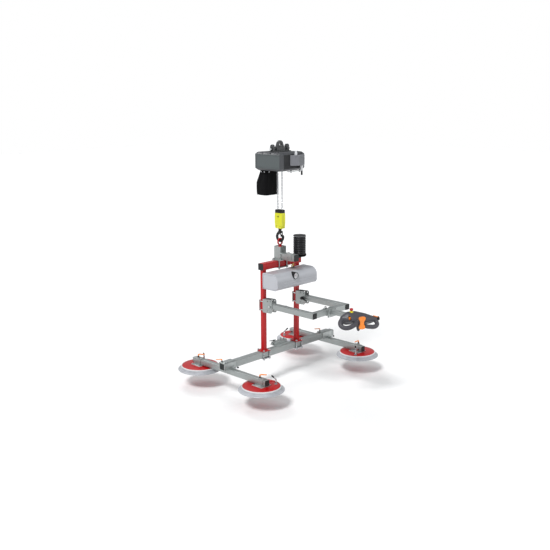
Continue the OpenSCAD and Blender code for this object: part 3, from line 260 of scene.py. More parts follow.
def make_looks():
    c = bpy.context.scene.lifter_colours
    powder("frame_red", c.red, 0.30, 0.12, 700.0, 0.00025, 0.06)
    powder("hoist_coat", c.hoist, 0.45, 0.05, 1300.0, 0.0004)
    powder("hoist_front", shade(c.hoist, 0.25), 0.42, 0.05, 1300.0, 0.0003)
    powder("hoist_panel", c.panel, 0.50, 0.0, 1500.0, 0.0004, 0.06)
    powder("eye_dark", (0.045, 0.048, 0.05), 0.42, 0.1, 300.0, 0.0006)
    powder("cover_silver", c.silver, 0.36, 0.15, 1700.0, 0.0002, 0.04)
    powder("cover_end", shade(c.silver, 1.12), 0.40, 0.1, 1700.0, 0.0002, 0.05)
    powder("pump_cast", (0.06, 0.065, 0.075), 0.5, 0.0, 260.0, 0.0008)
    plated("zinc_tube", c.zinc, 0.40, 150.0)
    plated("zinc_plate", shade(c.zinc, 1.2), 0.36, 150.0)
    plated("zinc_cover", (0.62, 0.64, 0.64), 0.30, 110.0)
    machined("steel", (0.50, 0.51, 0.53), 0.28)
    machined("chain_zinc", (0.62, 0.63, 0.65), 0.22, (30.0, 30.0, 1.0))
    machined("brass", (0.62, 0.42, 0.14), 0.30)
    machined("burnished", (0.022, 0.022, 0.024), 0.30, (1.0, 1.0, 6.0), 0.6)
    moulded("box_plastic", (0.16, 0.163, 0.18), 0.42, 700.0)
    moulded("black_plastic", (0.006, 0.006, 0.007), 0.42, 600.0, 0.0003)
    moulded("cap_plastic", (0.016, 0.018, 0.019), 0.5, 420.0, 0.0005)
    moulded("gland_pale", (0.62, 0.63, 0.65), 0.32, 900.0, 0.0002, 0.2, 0.1)
    moulded("block_yellow", c.yellow, 0.34, 800.0, 0.0003, 0.25, 0.12)
    moulded("lever_orange", c.orange, 0.34, 900.0, 0.0002, 0.25, 0.1)
    moulded("handle_grey", c.handle, 0.46, 640.0, 0.0005, 0.05, 0.35)
    moulded("handle_dark", shade(c.handle, 0.35), 0.55, 640.0, 0.0005)
    moulded("stop_yellow", (0.72, 0.62, 0.01), 0.34, 900.0, 0.0002, 0.2, 0.1)
    moulded("stop_red", (0.42, 0.004, 0.012), 0.26, 900.0, 0.0002, 0.4, 0.08)
    moulded("grey_plastic", (0.22, 0.23, 0.24), 0.5, 500.0)
    moulded("lip_pale", (0.62, 0.63, 0.64), 0.42, 500.0)
    powder("dial", (0.62, 0.63, 0.66), 0.4, 0.2, 900.0, 0.0001, 0.03)
    powder("mark_black", (0.01, 0.01, 0.012), 0.5, 0.0, 900.0, 0.0001)
    powder("needle_red", (0.5, 0.01, 0.01), 0.4, 0.1, 900.0, 0.0001)

    threads = Look("threaded", (0.50, 0.51, 0.53), 0.30, 1.0)
    turn = threads.node("ShaderNodeTexWave", {"bands_direction": "Z"}, threads.place(), 210.0, 0.6, 1.0,
                        out="Fac")
    haze = threads.noise(60.0, 3.0)
    threads.drive(Base_Color=threads.blend(haze, (0.42, 0.43, 0.45), (0.60, 0.61, 0.62)),
                  Roughness=0.26 + haze * 0.12).bump(turn, 0.7, 0.0008)

    rubber = Look("lip_rubber", c.rubber, 0.42, 0.0, 0.15, 0.2)
    bands = rubber.spread(rubber.noise(14.0, 3.0), 0.35, 0.7)
    dust = rubber.spread(rubber.noise(160.0, 5.0), 0.55, 0.8)
    veil = dust * 0.4
    tone = rubber.blend(bands, shade(c.rubber, 0.85), shade(c.rubber, 1.15))
    rubber.drive(Base_Color=rubber.blend(veil, tone, (0.62, 0.63, 0.65)),
                 Roughness=0.36 + bands * 0.12 + dust * 0.1)
    rubber.bump(rubber.noise(500.0, 3.0), 0.15, 0.0004)

    sheath = Look("cable_sheath", (0.010, 0.010, 0.011), 0.36, 0.0, 0.1)
    scuffs = sheath.spread(sheath.noise(120.0, 5.0), 0.58, 0.75)
    sheath.drive(Base_Color=sheath.blend(scuffs, (0.010, 0.010, 0.011), (0.035, 0.035, 0.037)),
                 Roughness=0.30 + scuffs * 0.2).bump(sheath.noise(700.0, 2.0), 0.2, 0.0003)

    size = bpy.context.scene.lifter_sizes.weave
    cloth = Look("bag_cloth", (0.007, 0.007, 0.008), 0.9, 0.0, 0.0, 0.02)
    apart = cloth.node("ShaderNodeSeparateXYZ", None, cloth.map())
    across = cloth.node("ShaderNodeSeparateXYZ", None, cloth.map(), out=1)
    warp = cloth.node("ShaderNodeMath", {"operation": "SINE"}, apart * (math.pi / size))
    weft = cloth.node("ShaderNodeMath", {"operation": "SINE"}, across * (math.pi / size))
    height = warp * weft * 0.5 + 0.5
    fade = cloth.noise(18.0, 5.0)
    cloth.drive(Base_Color=cloth.blend(height * 0.6 + fade * 0.4, (0.002, 0.002, 0.0022),
                                       (0.007, 0.007, 0.008)),
                Roughness=0.72 + fade * 0.2).bump(height, 0.6, 0.0008)

    for name, level in (("frame_red", 0.3), ("bag_cloth", 0.08), ("black_plastic", 0.3), ("handle_grey", 0.3),
                        ("cap_plastic", 0.3), ("cable_sheath", 0.3), ("hoist_front", 0.25),
                        ("hoist_coat", 0.35)):
        Look.made[name].shader.inputs["Specular IOR Level"].default_value = level

    glass = Look("gauge_glass", (0.9, 0.92, 0.94), 0.05, 0.0, 0.0)
    glass.shader.inputs["Alpha"].default_value = 0.16
    smears = glass.noise(40.0, 4.0)
    glass.drive(Roughness=0.03 + smears * 0.08)


# Modelling


def at(x, y, z):
    """A point in millimetres, its height counted from the pads' underside, in the frame's metres."""
    return Vector((x, y, z - EYE)) * MM


TO_ORIGIN = Matrix.Translation(-at(0, 0, 0))


def clear():
    if bpy.context.object and bpy.context.object.mode != "OBJECT":
        bpy.ops.object.mode_set(mode="OBJECT")
    bpy.ops.object.select_all(action="DESELECT")


def only(thing):
    """Leaves thing as the one selected and active object."""
    clear()
    thing.select_set(True)
    bpy.context.view_layer.objects.active = thing


def in_mm(p):
    """A point of the frame in millimetres, its height counted from the pads' underside."""
    return Vector((p.x / MM, p.y / MM, p.z / MM + EYE))


class editing:
    """Edit mode on one object, which has everything selected at first."""

    def __init__(self, thing):
        self.thing = thing

    def __enter__(self):
        only(self.thing)
        bpy.ops.object.mode_set(mode="EDIT")
        bpy.ops.mesh.select_mode(type="VERT")
        self.everything()
        return self

    def __exit__(self, *failure):
        bpy.ops.object.mode_set(mode="OBJECT")

    def faces(self, test):
        """Selects the faces whose centre (mm, from the pads' underside) and normal pass the test."""
        bpy.ops.mesh.select_mode(type="FACE")
        bpy.ops.mesh.select_all(action="DESELECT")
        mesh = bmesh.from_edit_mesh(self.thing.data)
        for face in mesh.faces:
            face.select_set(bool(test(in_mm(face.calc_center_median()), face.normal)))
        bmesh.update_edit_mesh(self.thing.data)

    def edges(self, test):
        """Selects the edges whose centre (mm) and direction pass the test."""
        bpy.ops.mesh.select_mode(type="EDGE")
        bpy.ops.mesh.select_all(action="DESELECT")
        mesh = bmesh.from_edit_mesh(self.thing.data)
        for edge in mesh.edges:
            a, b = edge.verts[0].co, edge.verts[1].co
            edge.select_set(bool(test(in_mm((a + b) / 2), (b - a).normalized())))
        bmesh.update_edit_mesh(self.thing.data)

    def move(self, change):
        """Moves each selected point as change(point in mm) says."""
        mesh = bmesh.from_edit_mesh(self.thing.data)
        for v in mesh.verts:
            if v.select:
                v.co = at(*change(in_mm(v.co)))
        bmesh.update_edit_mesh(self.thing.data)

    def everything(self):
        bpy.ops.mesh.select_all(action="SELECT")

    def bevel(self, width, steps=2):
        bpy.ops.mesh.bevel(offset=width * MM, segments=steps, profile=0.5, affect="EDGES", clamp_overlap=True)

    def slice(self, point, normal):
        """Cuts the whole mesh along a plane through a point."""
        self.everything()
        bpy.ops.mesh.bisect(plane_co=at(*point), plane_no=normal)

    def inset(self, width, **settings):
        bpy.ops.mesh.inset(thickness=width * MM, **settings)

    def lift(self, height):
        """Extrudes the selected faces along their normals."""
        bpy.ops.mesh.extrude_region_shrink_fatten(TRANSFORM_OT_shrink_fatten={"value": height * MM})

    def push(self, way):
        """Extrudes the selected faces by a vector."""
        bpy.ops.mesh.extrude_region_move(TRANSFORM_OT_translate={"value": Vector(way) * MM})

    def outwards(self):
        """Merges doubled points and turns every face outwards."""
        self.everything()
        bpy.ops.mesh.remove_doubles(threshold=0.00001)
        bpy.ops.mesh.normals_make_consistent(inside=False)


def apply(thing):
    """Puts the object's place, turn and scale into its mesh."""
    only(thing)
    bpy.ops.object.transform_apply(location=True, rotation=True, scale=True)
    return thing


def modify(thing, kind, **settings):
    """Adds a modifier and applies it."""
    only(thing)
    made = thing.modifiers.new(kind.title(), kind)
    for key, value in settings.items():
        setattr(made, key, value)
    bpy.ops.object.modifier_apply(modifier=made.name)
    return thing


def smooth(thing, angle=32.0):
    """Shades the piece smooth, with its edges above the angle kept sharp."""
    only(thing)
    bpy.ops.object.shade_smooth_by_angle(angle=math.radians(angle))
    return thing


def newest(name):
    made = bpy.context.object
    made.name = name
    made.data.name = name
    return made


def turned_to(direction):
    return direction.to_track_quat("Z", "Y").to_euler()


def block(name, low, high, bevel=0.8, steps=2, test=None):
    """A box between two corners, its edges rounded."""
    clear()
    a, b = at(*low), at(*high)
    bpy.ops.mesh.primitive_cube_add(size=1.0, location=(a + b) / 2, scale=[abs(v) for v in b - a])
    made = apply(newest(name))
    with editing(made) as edit:
        if test:
            edit.edges(test)
        edit.bevel(bevel, steps)
        edit.outwards()
    return smooth(made)


def rod(name, start, end, r, r2=None, bevel=0.6, sides=32):
    """A round bar or cone between two points, with its rims rounded."""
    clear()
    a, b = at(*start), at(*end)
    line = b - a
    bpy.ops.mesh.primitive_cone_add(vertices=sides, radius1=r * MM, radius2=(r if r2 is None else r2) * MM,
                                    depth=line.length, location=(a + b) / 2, rotation=turned_to(line))
    made = apply(newest(name))
    if bevel:
        way = line.normalized()
        with editing(made) as edit:
            edit.edges(lambda c, d: abs(d.dot(way)) < 0.1)
            edit.bevel(bevel, 2)
            edit.outwards()
    return smooth(made)


def nut(name, start, end, width, bevel=0.7):
    """A hexagon nut or bolt head, chamfered on its corners."""
    return rod(name, start, end, width / 2, bevel=bevel, sides=6)


def outlined(name, points, depth, bevel=0.0, steps=2):
    """An outline in space (mm) that is filled and extruded by depth (mm)."""
    clear()
    bpy.ops.mesh.primitive_circle_add(vertices=len(points), fill_type="NGON")
    made = newest(name)
    for vertex, p in zip(made.data.vertices, points):
        vertex.co = at(*p)
    with editing(made) as edit:
        edit.push(depth)
        edit.outwards()
        if bevel:
            way = Vector(depth).normalized()
            edit.edges(lambda c, d: abs(d.dot(way)) < 0.05)
            edit.bevel(bevel, steps)
            edit.outwards()
    return smooth(made)


def spun(name, profile, centre, axis, steps=64, angle=32.0):
    """A closed profile of [radius, height] pairs in mm, spun about an axis through centre."""
    clear()
    bpy.ops.mesh.primitive_circle_add(vertices=len(profile), fill_type="NOTHING")
    made = newest(name)
    way = Vector(axis).normalized()
    side = way.orthogonal().normalized()
    middle = at(*centre)
    for vertex, (r, h) in zip(made.data.vertices, profile):
        vertex.co = middle + side * r * MM + way * h * MM
    with editing(made) as edit:
        bpy.ops.mesh.spin(steps=steps, angle=2 * math.pi, center=middle, axis=way)
        edit.outwards()
        bpy.ops.mesh.dissolve_degenerate(threshold=0.000005)
        edit.outwards()
    return smooth(made, angle)


def ring_of(count):
    return [(math.cos(2 * math.pi * i / count), math.sin(2 * math.pi * i / count)) for i in range(count)]


def bow(cx, cy, r, start, end, count):
    """Points of an arc about [cx, cy] from one angle to another, as pairs."""
    turns = [math.radians(start + (end - start) * i / count) for i in range(count + 1)]
    return [(cx + r * math.cos(a), cy + r * math.sin(a)) for a in turns]


def round_way(x0, x1, y0, y1, corner, count):
    """The way round a rectangle with round corners, closed by its first two points, as pairs."""
    way = []
    for cx, cy, start in ((x1 - corner, y1 - corner, 0), (x0 + corner, y1 - corner, 90),
                          (x0 + corner, y0 + corner, 180), (x1 - corner, y0 + corner, 270)):
        way += bow(cx, cy, corner, start, start + 90, count)
    return way + way[:2]


def rounded(count, power=4.0):
    """A square with soft corners, as [across, up] pairs of reach 1."""
    shape = []
    for c, s in ring_of(count):
        r = (abs(c) ** power + abs(s) ** power) ** (-1.0 / power)
        shape.append((c * r, s * r))
    return shape


def boxy(rx, ry, steps=4):
    """A rectangle with small round corners, as [across, up] pairs of reach 1."""
    shape = []
    for x, y, start in ((1 - rx, 1 - ry, 0), (rx - 1, 1 - ry, 90), (rx - 1, ry - 1, 180),
                        (1 - rx, ry - 1, 270)):
        for i in range(steps + 1):
            a = math.radians(start + 90 * i / steps)
            shape.append((x + rx * math.cos(a), y + ry * math.sin(a)))
    return shape


def station(p, way, up, across, tall):
    """Where a loft's section stands: at p, facing way, with its half sizes across and tall in mm."""
    way = Vector(way).normalized()
    side = Vector(up).cross(way).normalized()
    top = way.cross(side).normalized()
    place = Matrix.Identity(4)
    for row in range(3):
        place[row][0] = side[row] * across * MM
        place[row][1] = top[row] * tall * MM
        place[row][2] = way[row]
        place[row][3] = at(*p)[row]
    return place


def upright(levels):
    """Stations up the middle axis from [height, half width, half depth] in mm."""
    return [station((0, 0, z), (0, 0, 1), (0, 1, 0), x, y) for z, x, y in levels]


def loft(name, stations, section, angle=50.0, level=0):
    """Extrudes a section from station to station."""
    clear()
    bpy.ops.mesh.primitive_circle_add(vertices=len(section), fill_type="NGON")
    made = newest(name)
    for vertex, (u, v) in zip(made.data.vertices, section):
        vertex.co = stations[0] @ Vector((u, v, 0.0))
    with editing(made) as edit:
        for before, after in zip(stations, stations[1:]):
            bpy.ops.mesh.extrude_region_move()
            step = after @ before.inverted()
            mesh = bmesh.from_edit_mesh(made.data)
            for vertex in mesh.verts:
                if vertex.select:
                    vertex.co = step @ vertex.co
            bmesh.update_edit_mesh(made.data)
        edit.outwards()
    if level:
        modify(made, "SUBSURF", levels=level, render_levels=level)
    return smooth(made, angle)


def stroke(name, points, sizes, section=None, up=(0, 0, 1), level=1):
    """A loft that runs through points (mm), each with one radius or a pair of half sizes."""
    spots = [Vector(p) for p in points]
    places = []
    for i, p in enumerate(spots):
        way = spots[min(i + 1, len(spots) - 1)] - spots[max(i - 1, 0)]
        size = sizes[i] if isinstance(sizes, (list, tuple)) else sizes
        across, tall = size if isinstance(size, (list, tuple)) else (size, size)
        places.append(station(p, way, up, across, tall))
    return loft(name, places, section or ring_of(12), 60.0, level)


def cut(thing, *tools):
    """Takes the tools' shapes out of the piece and deletes them."""
    for tool in tools:
        modify(thing, "BOOLEAN", object=tool, operation="DIFFERENCE", solver="EXACT")
        bpy.data.objects.remove(tool)
    return thing


def placed(x, y, turn):
    """Turns a piece about the upright axis through the origin and moves it aside by x and y in mm."""
    return Matrix.Translation(at(x, y, EYE)) @ Matrix.Rotation(math.radians(turn), 4, "Z")


def joined(name, *things):
    clear()
    for thing in things:
        thing.select_set(True)
    bpy.context.view_layer.objects.active = things[0]
    if len(things) > 1:
        bpy.ops.object.join()
    return newest(name)


def copied(thing, name, matrix):
    """A copy with its own mesh, moved or mirrored by a matrix."""
    made = thing.copy()
    made.data = thing.data.copy()
    made.name = made.data.name = name
    bpy.context.scene.collection.objects.link(made)
    made.data.transform(matrix)
    if matrix.determinant() < 0:
        with editing(made):
            bpy.ops.mesh.flip_normals()
    return made


def painted(thing, *names):
    """Gives a piece its finishes, the first one on every face that has no other."""
    if not thing.data.materials:
        for name in names:
            thing.data.materials.append(Look.made[name].material)
    return thing


def finish(thing, look, body, slot, *nodes):
    """Gives the piece its finish, parents it to the body that it rides on and hides the nodes that it stands
    for.
    """
    painted(thing, look)
    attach(thing, body)
    if nodes:
        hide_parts(*nodes)
    return thing


def coat(node, look):
    """Gives a node of the frame a finish."""
    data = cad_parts[node].data
    data.materials.clear()
    data.materials.append(Look.made[look].material)


def bead(name, points, r=2.4):
    """A weld bead that runs through points."""
    return stroke(name, points, r, ring_of(8), level=0)


def soften(thing, width=0.8, steps=2, angle=30.0):
    """Rounds every sharp edge of a finished shape."""
    modify(thing, "BEVEL", width=width * MM, segments=steps, limit_method="ANGLE",
           angle_limit=math.radians(angle))
    return smooth(thing)


def facets(thing, slot, test):
    """Gives the faces that pass the test the piece's finish number slot."""
    for face in thing.data.polygons:
        if test(in_mm(face.center), face.normal):
            face.material_index = slot


COATS = {
    "frame_red": ["column_frame", "lifting_ring"],
    "zinc_tube": ["main_beam", "suspension_post", "arm_brackets", "steering_frame", "handle_stem"],
    "zinc_plate": ["vacuum_manifold", "pump_tray"],
    "threaded": ["frame_rods"],
    "cap_plastic": ["tube_caps", "steering_caps"],
    "chain_zinc": ["chain"],
    "steel": ["load_wheel", "block_sheave"],
    "pump_cast": ["vacuum_pump"],
    "black_plastic": ["battery"],
    "needle_red": ["gauge_needle"],
    "eye_dark": ["suspension_eye"],
}


class LIFTER_OT_finishes(bpy.types.Operator):
    """Makes the finishes and coats the nodes of the frame"""
    bl_idname = "lifter.finishes"
    bl_label = "Finishes"

    def execute(self, context):
        make_looks()
        for look, nodes in COATS.items():
            for node in nodes:
                coat(node, look)
        return {"FINISHED"}


class LIFTER_OT_hoist(bpy.types.Operator):
    """Hoist body with sunk end panels, screws, ears and guide bar"""
    bl_idname = "lifter.hoist"
    bl_label = "Hoist"

    def execute(self, context):
        sizes = context.scene.lifter_sizes
        low, high = HOIST_FOOT, HOIST_TOP
        body = block("hoist_body", (-160, -158, low), (160, 158, high), 18, 1, lambda c, d: abs(d.z) < 0.1)
        with editing(body) as edit:
            edit.edges(lambda c, d: abs(d.z) > 0.3)
            edit.bevel(8, 1)
            edit.outwards()
            for x in (-113, -110, 110, 113):
                edit.slice((x, 0, low), (1, 0, 0))
            edit.faces(lambda c, n: 110.1 < abs(c.x) < 112.9)
            edit.lift(-2.5)
            edit.faces(lambda c, n: abs(n.x) > 0.95 and abs(c.x) > 150)
            edit.inset(sizes.panel_inset / MM)
            edit.lift(-3)
            edit.faces(lambda c, n: n.y < -0.95 and abs(c.x) < 100)
            edit.inset(6)
            edit.lift(-1.8)
            edit.outwards()
        notches = [rod("notch", (sx * 143, y, high - 17), (sx * 163, y, high + 3), 7, bevel=0)
                   for sx in (-1, 1) for y in (-128, -34, 60, 128)]
        cut(body, *notches)
        soften(body, 1.4)
        painted(body, "hoist_coat", "hoist_front", "hoist_panel")
        facets(body, 1, lambda c, n: c.y < -150 and abs(c.x) < 109)
        facets(body, 2, lambda c, n: abs(c.x) > 156.4 and abs(n.x) > 0.9)
        finish(body, "hoist_coat", "hoist", "hoist_grey", "hoist_housing")

        heads = [rod("head", (sx * 141, y, high - 19), (sx * 150, y, high - 10), 5, bevel=1, sides=24)
                 for sx in (-1, 1) for y in (-128, -34, 60, 128)]
        heads += [rod("head", (x, -154.5, z), (x, -158.6, z), 4.2, bevel=1, sides=24)
                  for x, z in ((-50, 1940), (-8, 1938), (-49, 1846))]
        heads += [rod("head", (sx * 124, y, high - 0.5), (sx * 124, y, high + 3.5), 5, bevel=1, sides=24)
                  for sx in (-1, 1) for y in (-100, 100)]
        finish(joined("hoist_screws", *heads), "burnished", "hoist", "plain_steel")

        parts = [block("plate", (-112, -32, high), (112, 32, high + 8), 2, 2)]
        for side in (-1, 1):
            plan = [(-20, 6), (20, 6), (20, 46)] + bow(0, 46, 20, 15, 165, 10) + [(-20, 46)]
            points = [(side * 80, y, high + z) for y, z in plan]
            ear = outlined("ear", points, (side * 24, 0, 0), 2.5, 3)
            bore = rod("bore", (side * 70, 0, high + 26), (side * 114, 0, high + 26), 8.1, bevel=0)
            parts.append(cut(ear, bore))
        for sx, sy in CORNERS:
            parts.append(nut("bolt", (sx * 60, sy * 23, high + 8), (sx * 60, sy * 23, high + 15), 13))
        finish(joined("hoist_ears", *parts), "eye_dark", "hoist", "hoist_grey", "hoist_fittings")

        bar = block("guide_bar", (-17, -130, low - 14), (169, -106, low - 8), 1.2, 2)
        with editing(bar) as edit:
            edit.faces(lambda c, n: n.z < -0.9)
            edit.inset(4)
            edit.push((0, 0, 1.5))
        finish(soften(bar, 0.4), "zinc_cover", "hoist", "plain_steel")
        posts = [rod("post", (x, -118, low - 9), (x, -118, low), 7) for x in (20, 132)]
        posts += [nut("foot", (x, -118, low - 21), (x, -118, low - 13), 15) for x in (20, 132)]
        finish(joined("guide_posts", *posts), "black_plastic", "hoist", "black_plastic")
        return {"FINISHED"}


class LIFTER_OT_eye(bpy.types.Operator):
    """Bolt heads on the suspension eye's pin and the eye's raised rim"""
    bl_idname = "lifter.eye"
    bl_label = "Suspension eye"

    def execute(self, context):
        rims = [spun("rim", [(15, 9), (15, 11.5), (22, 11.5), (24, 9)], (0, 0, EYE), (0, side, 0), 48)
                for side in (-1, 1)]
        rims += [outlined("rib", [(-46, side * 9, 1972), (46, side * 9, 1972), (46, side * 9, 1992),
                                  (30, side * 9, 2008), (26, side * 9, 2000), (38, side * 9, 1986),
                                  (-38, side * 9, 1986), (-26, side * 9, 2000), (-30, side * 9, 2008),
                                  (-46, side * 9, 1992)], (0, side * 2.2, 0), 0.7) for side in (-1, 1)]
        finish(joined("eye_rim", *rims), "eye_dark", "hoist", "hoist_grey")
        bolts = [nut("head", (side * 114, 0, 1983.5), (side * 121, 0, 1983.5), 22, 1.2) for side in (-1, 1)]
        finish(joined("eye_bolts", *bolts), "zinc_cover", "hoist", "plain_steel")
        return {"FINISHED"}


class LIFTER_OT_control_box(bpy.types.Operator):
    """Control box on the hoist's front with its two glands"""
    bl_idname = "lifter.control_box"
    bl_label = "Control box"

    def execute(self, context):
        plan = [(-32, 0), (-4, -30), (26, -44), (98, -44), (122, -30), (134, 0)]
        box = outlined("control_box_case", [(x, -158 + y, 1841.5) for x, y in plan], (0, 0, 92), 3, 3)
        with editing(box) as edit:
            edit.faces(lambda c, n: n.y < -0.6 and c.y < -175 and 1850 < c.z < 1925)
            edit.inset(6, use_individual=True)
            edit.lift(-1.8)
            edit.outwards()
        finish(soften(box, 0.6), "box_plastic", "hoist", "box_grey", "control_box")
        ribs = [block("rib", (30, -203.4, z), (94, -199, z + 3), 0.8) for z in range(1862, 1918, 9)]
        ribs += [rod("screw", (x, -200, z), (x, -204, z), 3.4, bevel=0.8, sides=20)
                 for x in (34, 90) for z in (1849, 1926)]
        finish(joined("control_box_ribs", *ribs), "grey_plastic", "hoist", "box_grey")
        glands = []
        for x, y, way, start, reach in ((18, -180, 1, 1933.5, 28), (89, -184, -1, 1841.5, 40)):
            glands.append(nut("nut", (x, y, start), (x, y, start + way * 9), 26.6, 1.0))
            plan = [(13, 9), (12, 12), (12.4, 14), (11.4, 18), (9.4, 9 + reach), (7, 9 + reach + 0.5),
                    (0, 9 + reach), (0, 9)]
            glands.append(spun("gland", plan, (x, y, start), (0, 0, way), 40))
        finish(joined("control_glands", *glands), "gland_pale", "hoist", "box_grey")
        plan = [(0, 48.6), (8, 48.6), (8, 55), (7, 58), (8, 61), (8, 84), (6.4, 87), (0, 87)]
        tip = spun("gland_tip", plan, (89, -184, 1841.5), (0, 0, -1), 40)
        finish(tip, "black_plastic", "hoist", "black_plastic")
        return {"FINISHED"}


class LIFTER_OT_chain_bag(bpy.types.Operator):
    """Cloth bag for the slack chain, with its folds, piping and studs"""
    bl_idname = "lifter.chain_bag"
    bl_label = "Chain bag"

    def execute(self, context):
        top, deep = HOIST_FOOT, 232.0
        left, right, front, back = -130, 47, 46, 180
        wide, thick = right - left, back - front
        bag = block("chain_bag_cloth", (left, front, top - deep), (right, back, top - 0.4), 24, 4,
                    lambda c, d: abs(d.z) > 0.9 or c.z < top - deep + 1)
        with editing(bag) as edit:
            edit.faces(lambda c, n: n.z > 0.9)
            bpy.ops.mesh.delete(type="FACE")
            for i in range(1, 26):
                edit.slice((0, 0, top - deep + i * deep / 26), (0, 0, 1))
            for i in range(1, 20):
                edit.slice((left + i * wide / 20, 0, 0), (1, 0, 0))
            for i in range(1, 16):
                edit.slice((0, front + i * thick / 16, 0), (0, 1, 0))
            edit.everything()

            def drape(p):
                t = (top - p.z) / deep
                middle = (left + right) / 2
                u, v = (p.x - middle) * 2 / wide, (p.y - (front + back) / 2) * 2 / thick
                narrow = max(0.0, 1 - t / 0.5)
                x = middle + (p.x - middle) * (1 - 0.10 * narrow) + 4 * narrow * (u < 0)
                y = p.y - max(0.0, v + 0.2) * 34 * narrow
                sag = math.sin(math.pi * min(1.0, t * 1.05)) * 1.6
                fold = math.sin(u * 7.0 + t * 3.0) * 1.2 + math.sin(v * 6.0 - t * 5.0) * 1.0
                pull = max(0.0, 1 - t * 5) * math.sin(u * 16.0) * 1.2
                edge = max(abs(u), abs(v))
                x += (u / max(edge, 0.3)) * (sag + fold - 3.0) * abs(u) ** 3
                y += (v / max(edge, 0.3)) * (sag + fold - 3.0) * abs(v) ** 3 + pull * (v > 0.8)
                z = p.z + (2.6 - 2.4 * (1 - u * u) * (1 - v * v)) * (t > 0.97)
                return x, max(y, front + 0.3), z
            edit.move(drape)
            edit.everything()
            bpy.ops.mesh.normals_make_consistent(inside=False)
            bpy.ops.uv.cube_project(cube_size=1.0, correct_aspect=False)
        modify(bag, "SUBSURF", levels=1, render_levels=1)
        modify(bag, "SOLIDIFY", thickness=0.0016, offset=-1.0)
        smooth(bag, 60)
        finish(bag, "bag_cloth", "hoist", "bag_black", "chain_bag")

        rim = []
        for x0, x1, y0, y1, z, r in ((-123, 42, 48.5, 138, top - 5, 2.2),
                                     (-127, 44, 49, 176, top - 222, 2.0)):
            path = [(x, y, z) for x, y in round_way(x0, x1, y0, y1, 14, 3)]
            rim.append(bead("piping", path, r))
        piping = joined("chain_bag_piping", *rim)
        with editing(piping):
            bpy.ops.uv.cube_project(cube_size=1.0, correct_aspect=False)
        finish(piping, "bag_cloth", "hoist", "bag_black")
        studs = [rod("stud", (x, y, z), (x2, y2, z), 5.2, bevel=1.4, sides=24)
                 for x, y, x2, y2, z in ((-121, 72, -125.5, 72, 1781), (-121, 112, -125.5, 112, 1781),
                                         (20, 47.5, 20, 43.4, 1781), (-90, 47.5, -90, 43.4, 1781))]
        studs = finish(joined("chain_bag_studs", *studs), "gland_pale", "hoist", "plain_steel")
        return {"FINISHED"}


class LIFTER_OT_hook_block(bpy.types.Operator):
    """Yellow hook block with its black chain guide and screws"""
    bl_idname = "lifter.hook_block"
    bl_label = "Hook block"

    def execute(self, context):
        axle, screw_z = 1376.5, 1288.5
        levels = [(1266.5, 19.0, 35.0), (1268.5, 21.5, 38.0), (1275, 24, 41), (1300, 25.2, 42.6),
                  (1326.5, 26, 44), (1376.5, 26, 44), (1400, 25.4, 43), (1406.5, 25, 42),
                  (1408.5, 24.2, 41.2)]
        shell = loft("hook_block_shell", upright(levels), boxy(4 / 26, 4 / 44), 40.0)
        rim = [block("seam", (-0.7, -60, 1290), (0.7, -40.5, 1396), 0.3, 1),
               block("seam", (-0.7, 40.5, 1290), (0.7, 60, 1396), 0.3, 1)]
        for side in (-1, 1):
            rim.append(rod("bore", (side * 23, 0, axle), (side * 30, 0, axle), 9.5, bevel=0))
            for y in (-24, 24):
                rim.append(rod("bore", (side * 23.2, y, screw_z), (side * 30, y, screw_z), 4.6, bevel=0))
        cut(shell, *rim)
        soften(shell, 0.5)
        finish(shell, "block_yellow", "hook_block", "block_yellow", "block_shells")
        screws = [rod("screw", (side * 22, y, screw_z), (side * 24.6, y, screw_z), 4.2, bevel=0.8, sides=24)
                  for side in (-1, 1) for y in (-24, 24)]
        screws += [nut("pin", (side * 22, 0, axle), (side * 25.6, 0, axle), 14, 0.8) for side in (-1, 1)]
        finish(joined("hook_block_screws", *screws), "burnished", "hook_block", "plain_steel")

        levels = [(1408.7, 23.6, 40.6), (1411, 24, 41), (1430, 24, 41), (1436, 22.6, 39.4), (1438.5, 20, 37)]
        guide = loft("chain_guide", upright(levels), boxy(4 / 24, 4 / 41), 40.0)
        slots = []
        for fall in (-27.5, 27.5):
            for turn in (45, 135):
                slot = block("slot", (-8.8, -2.8, 1400), (8.8, 2.8, 1445), 0.4, 1)
                slot.data.transform(placed(0, fall, turn))
                slots.append(slot)
        cut(guide, *slots)
        finish(soften(guide, 0.5), "black_plastic", "hook_block", "black_plastic", "block_guide")
        return {"FINISHED"}


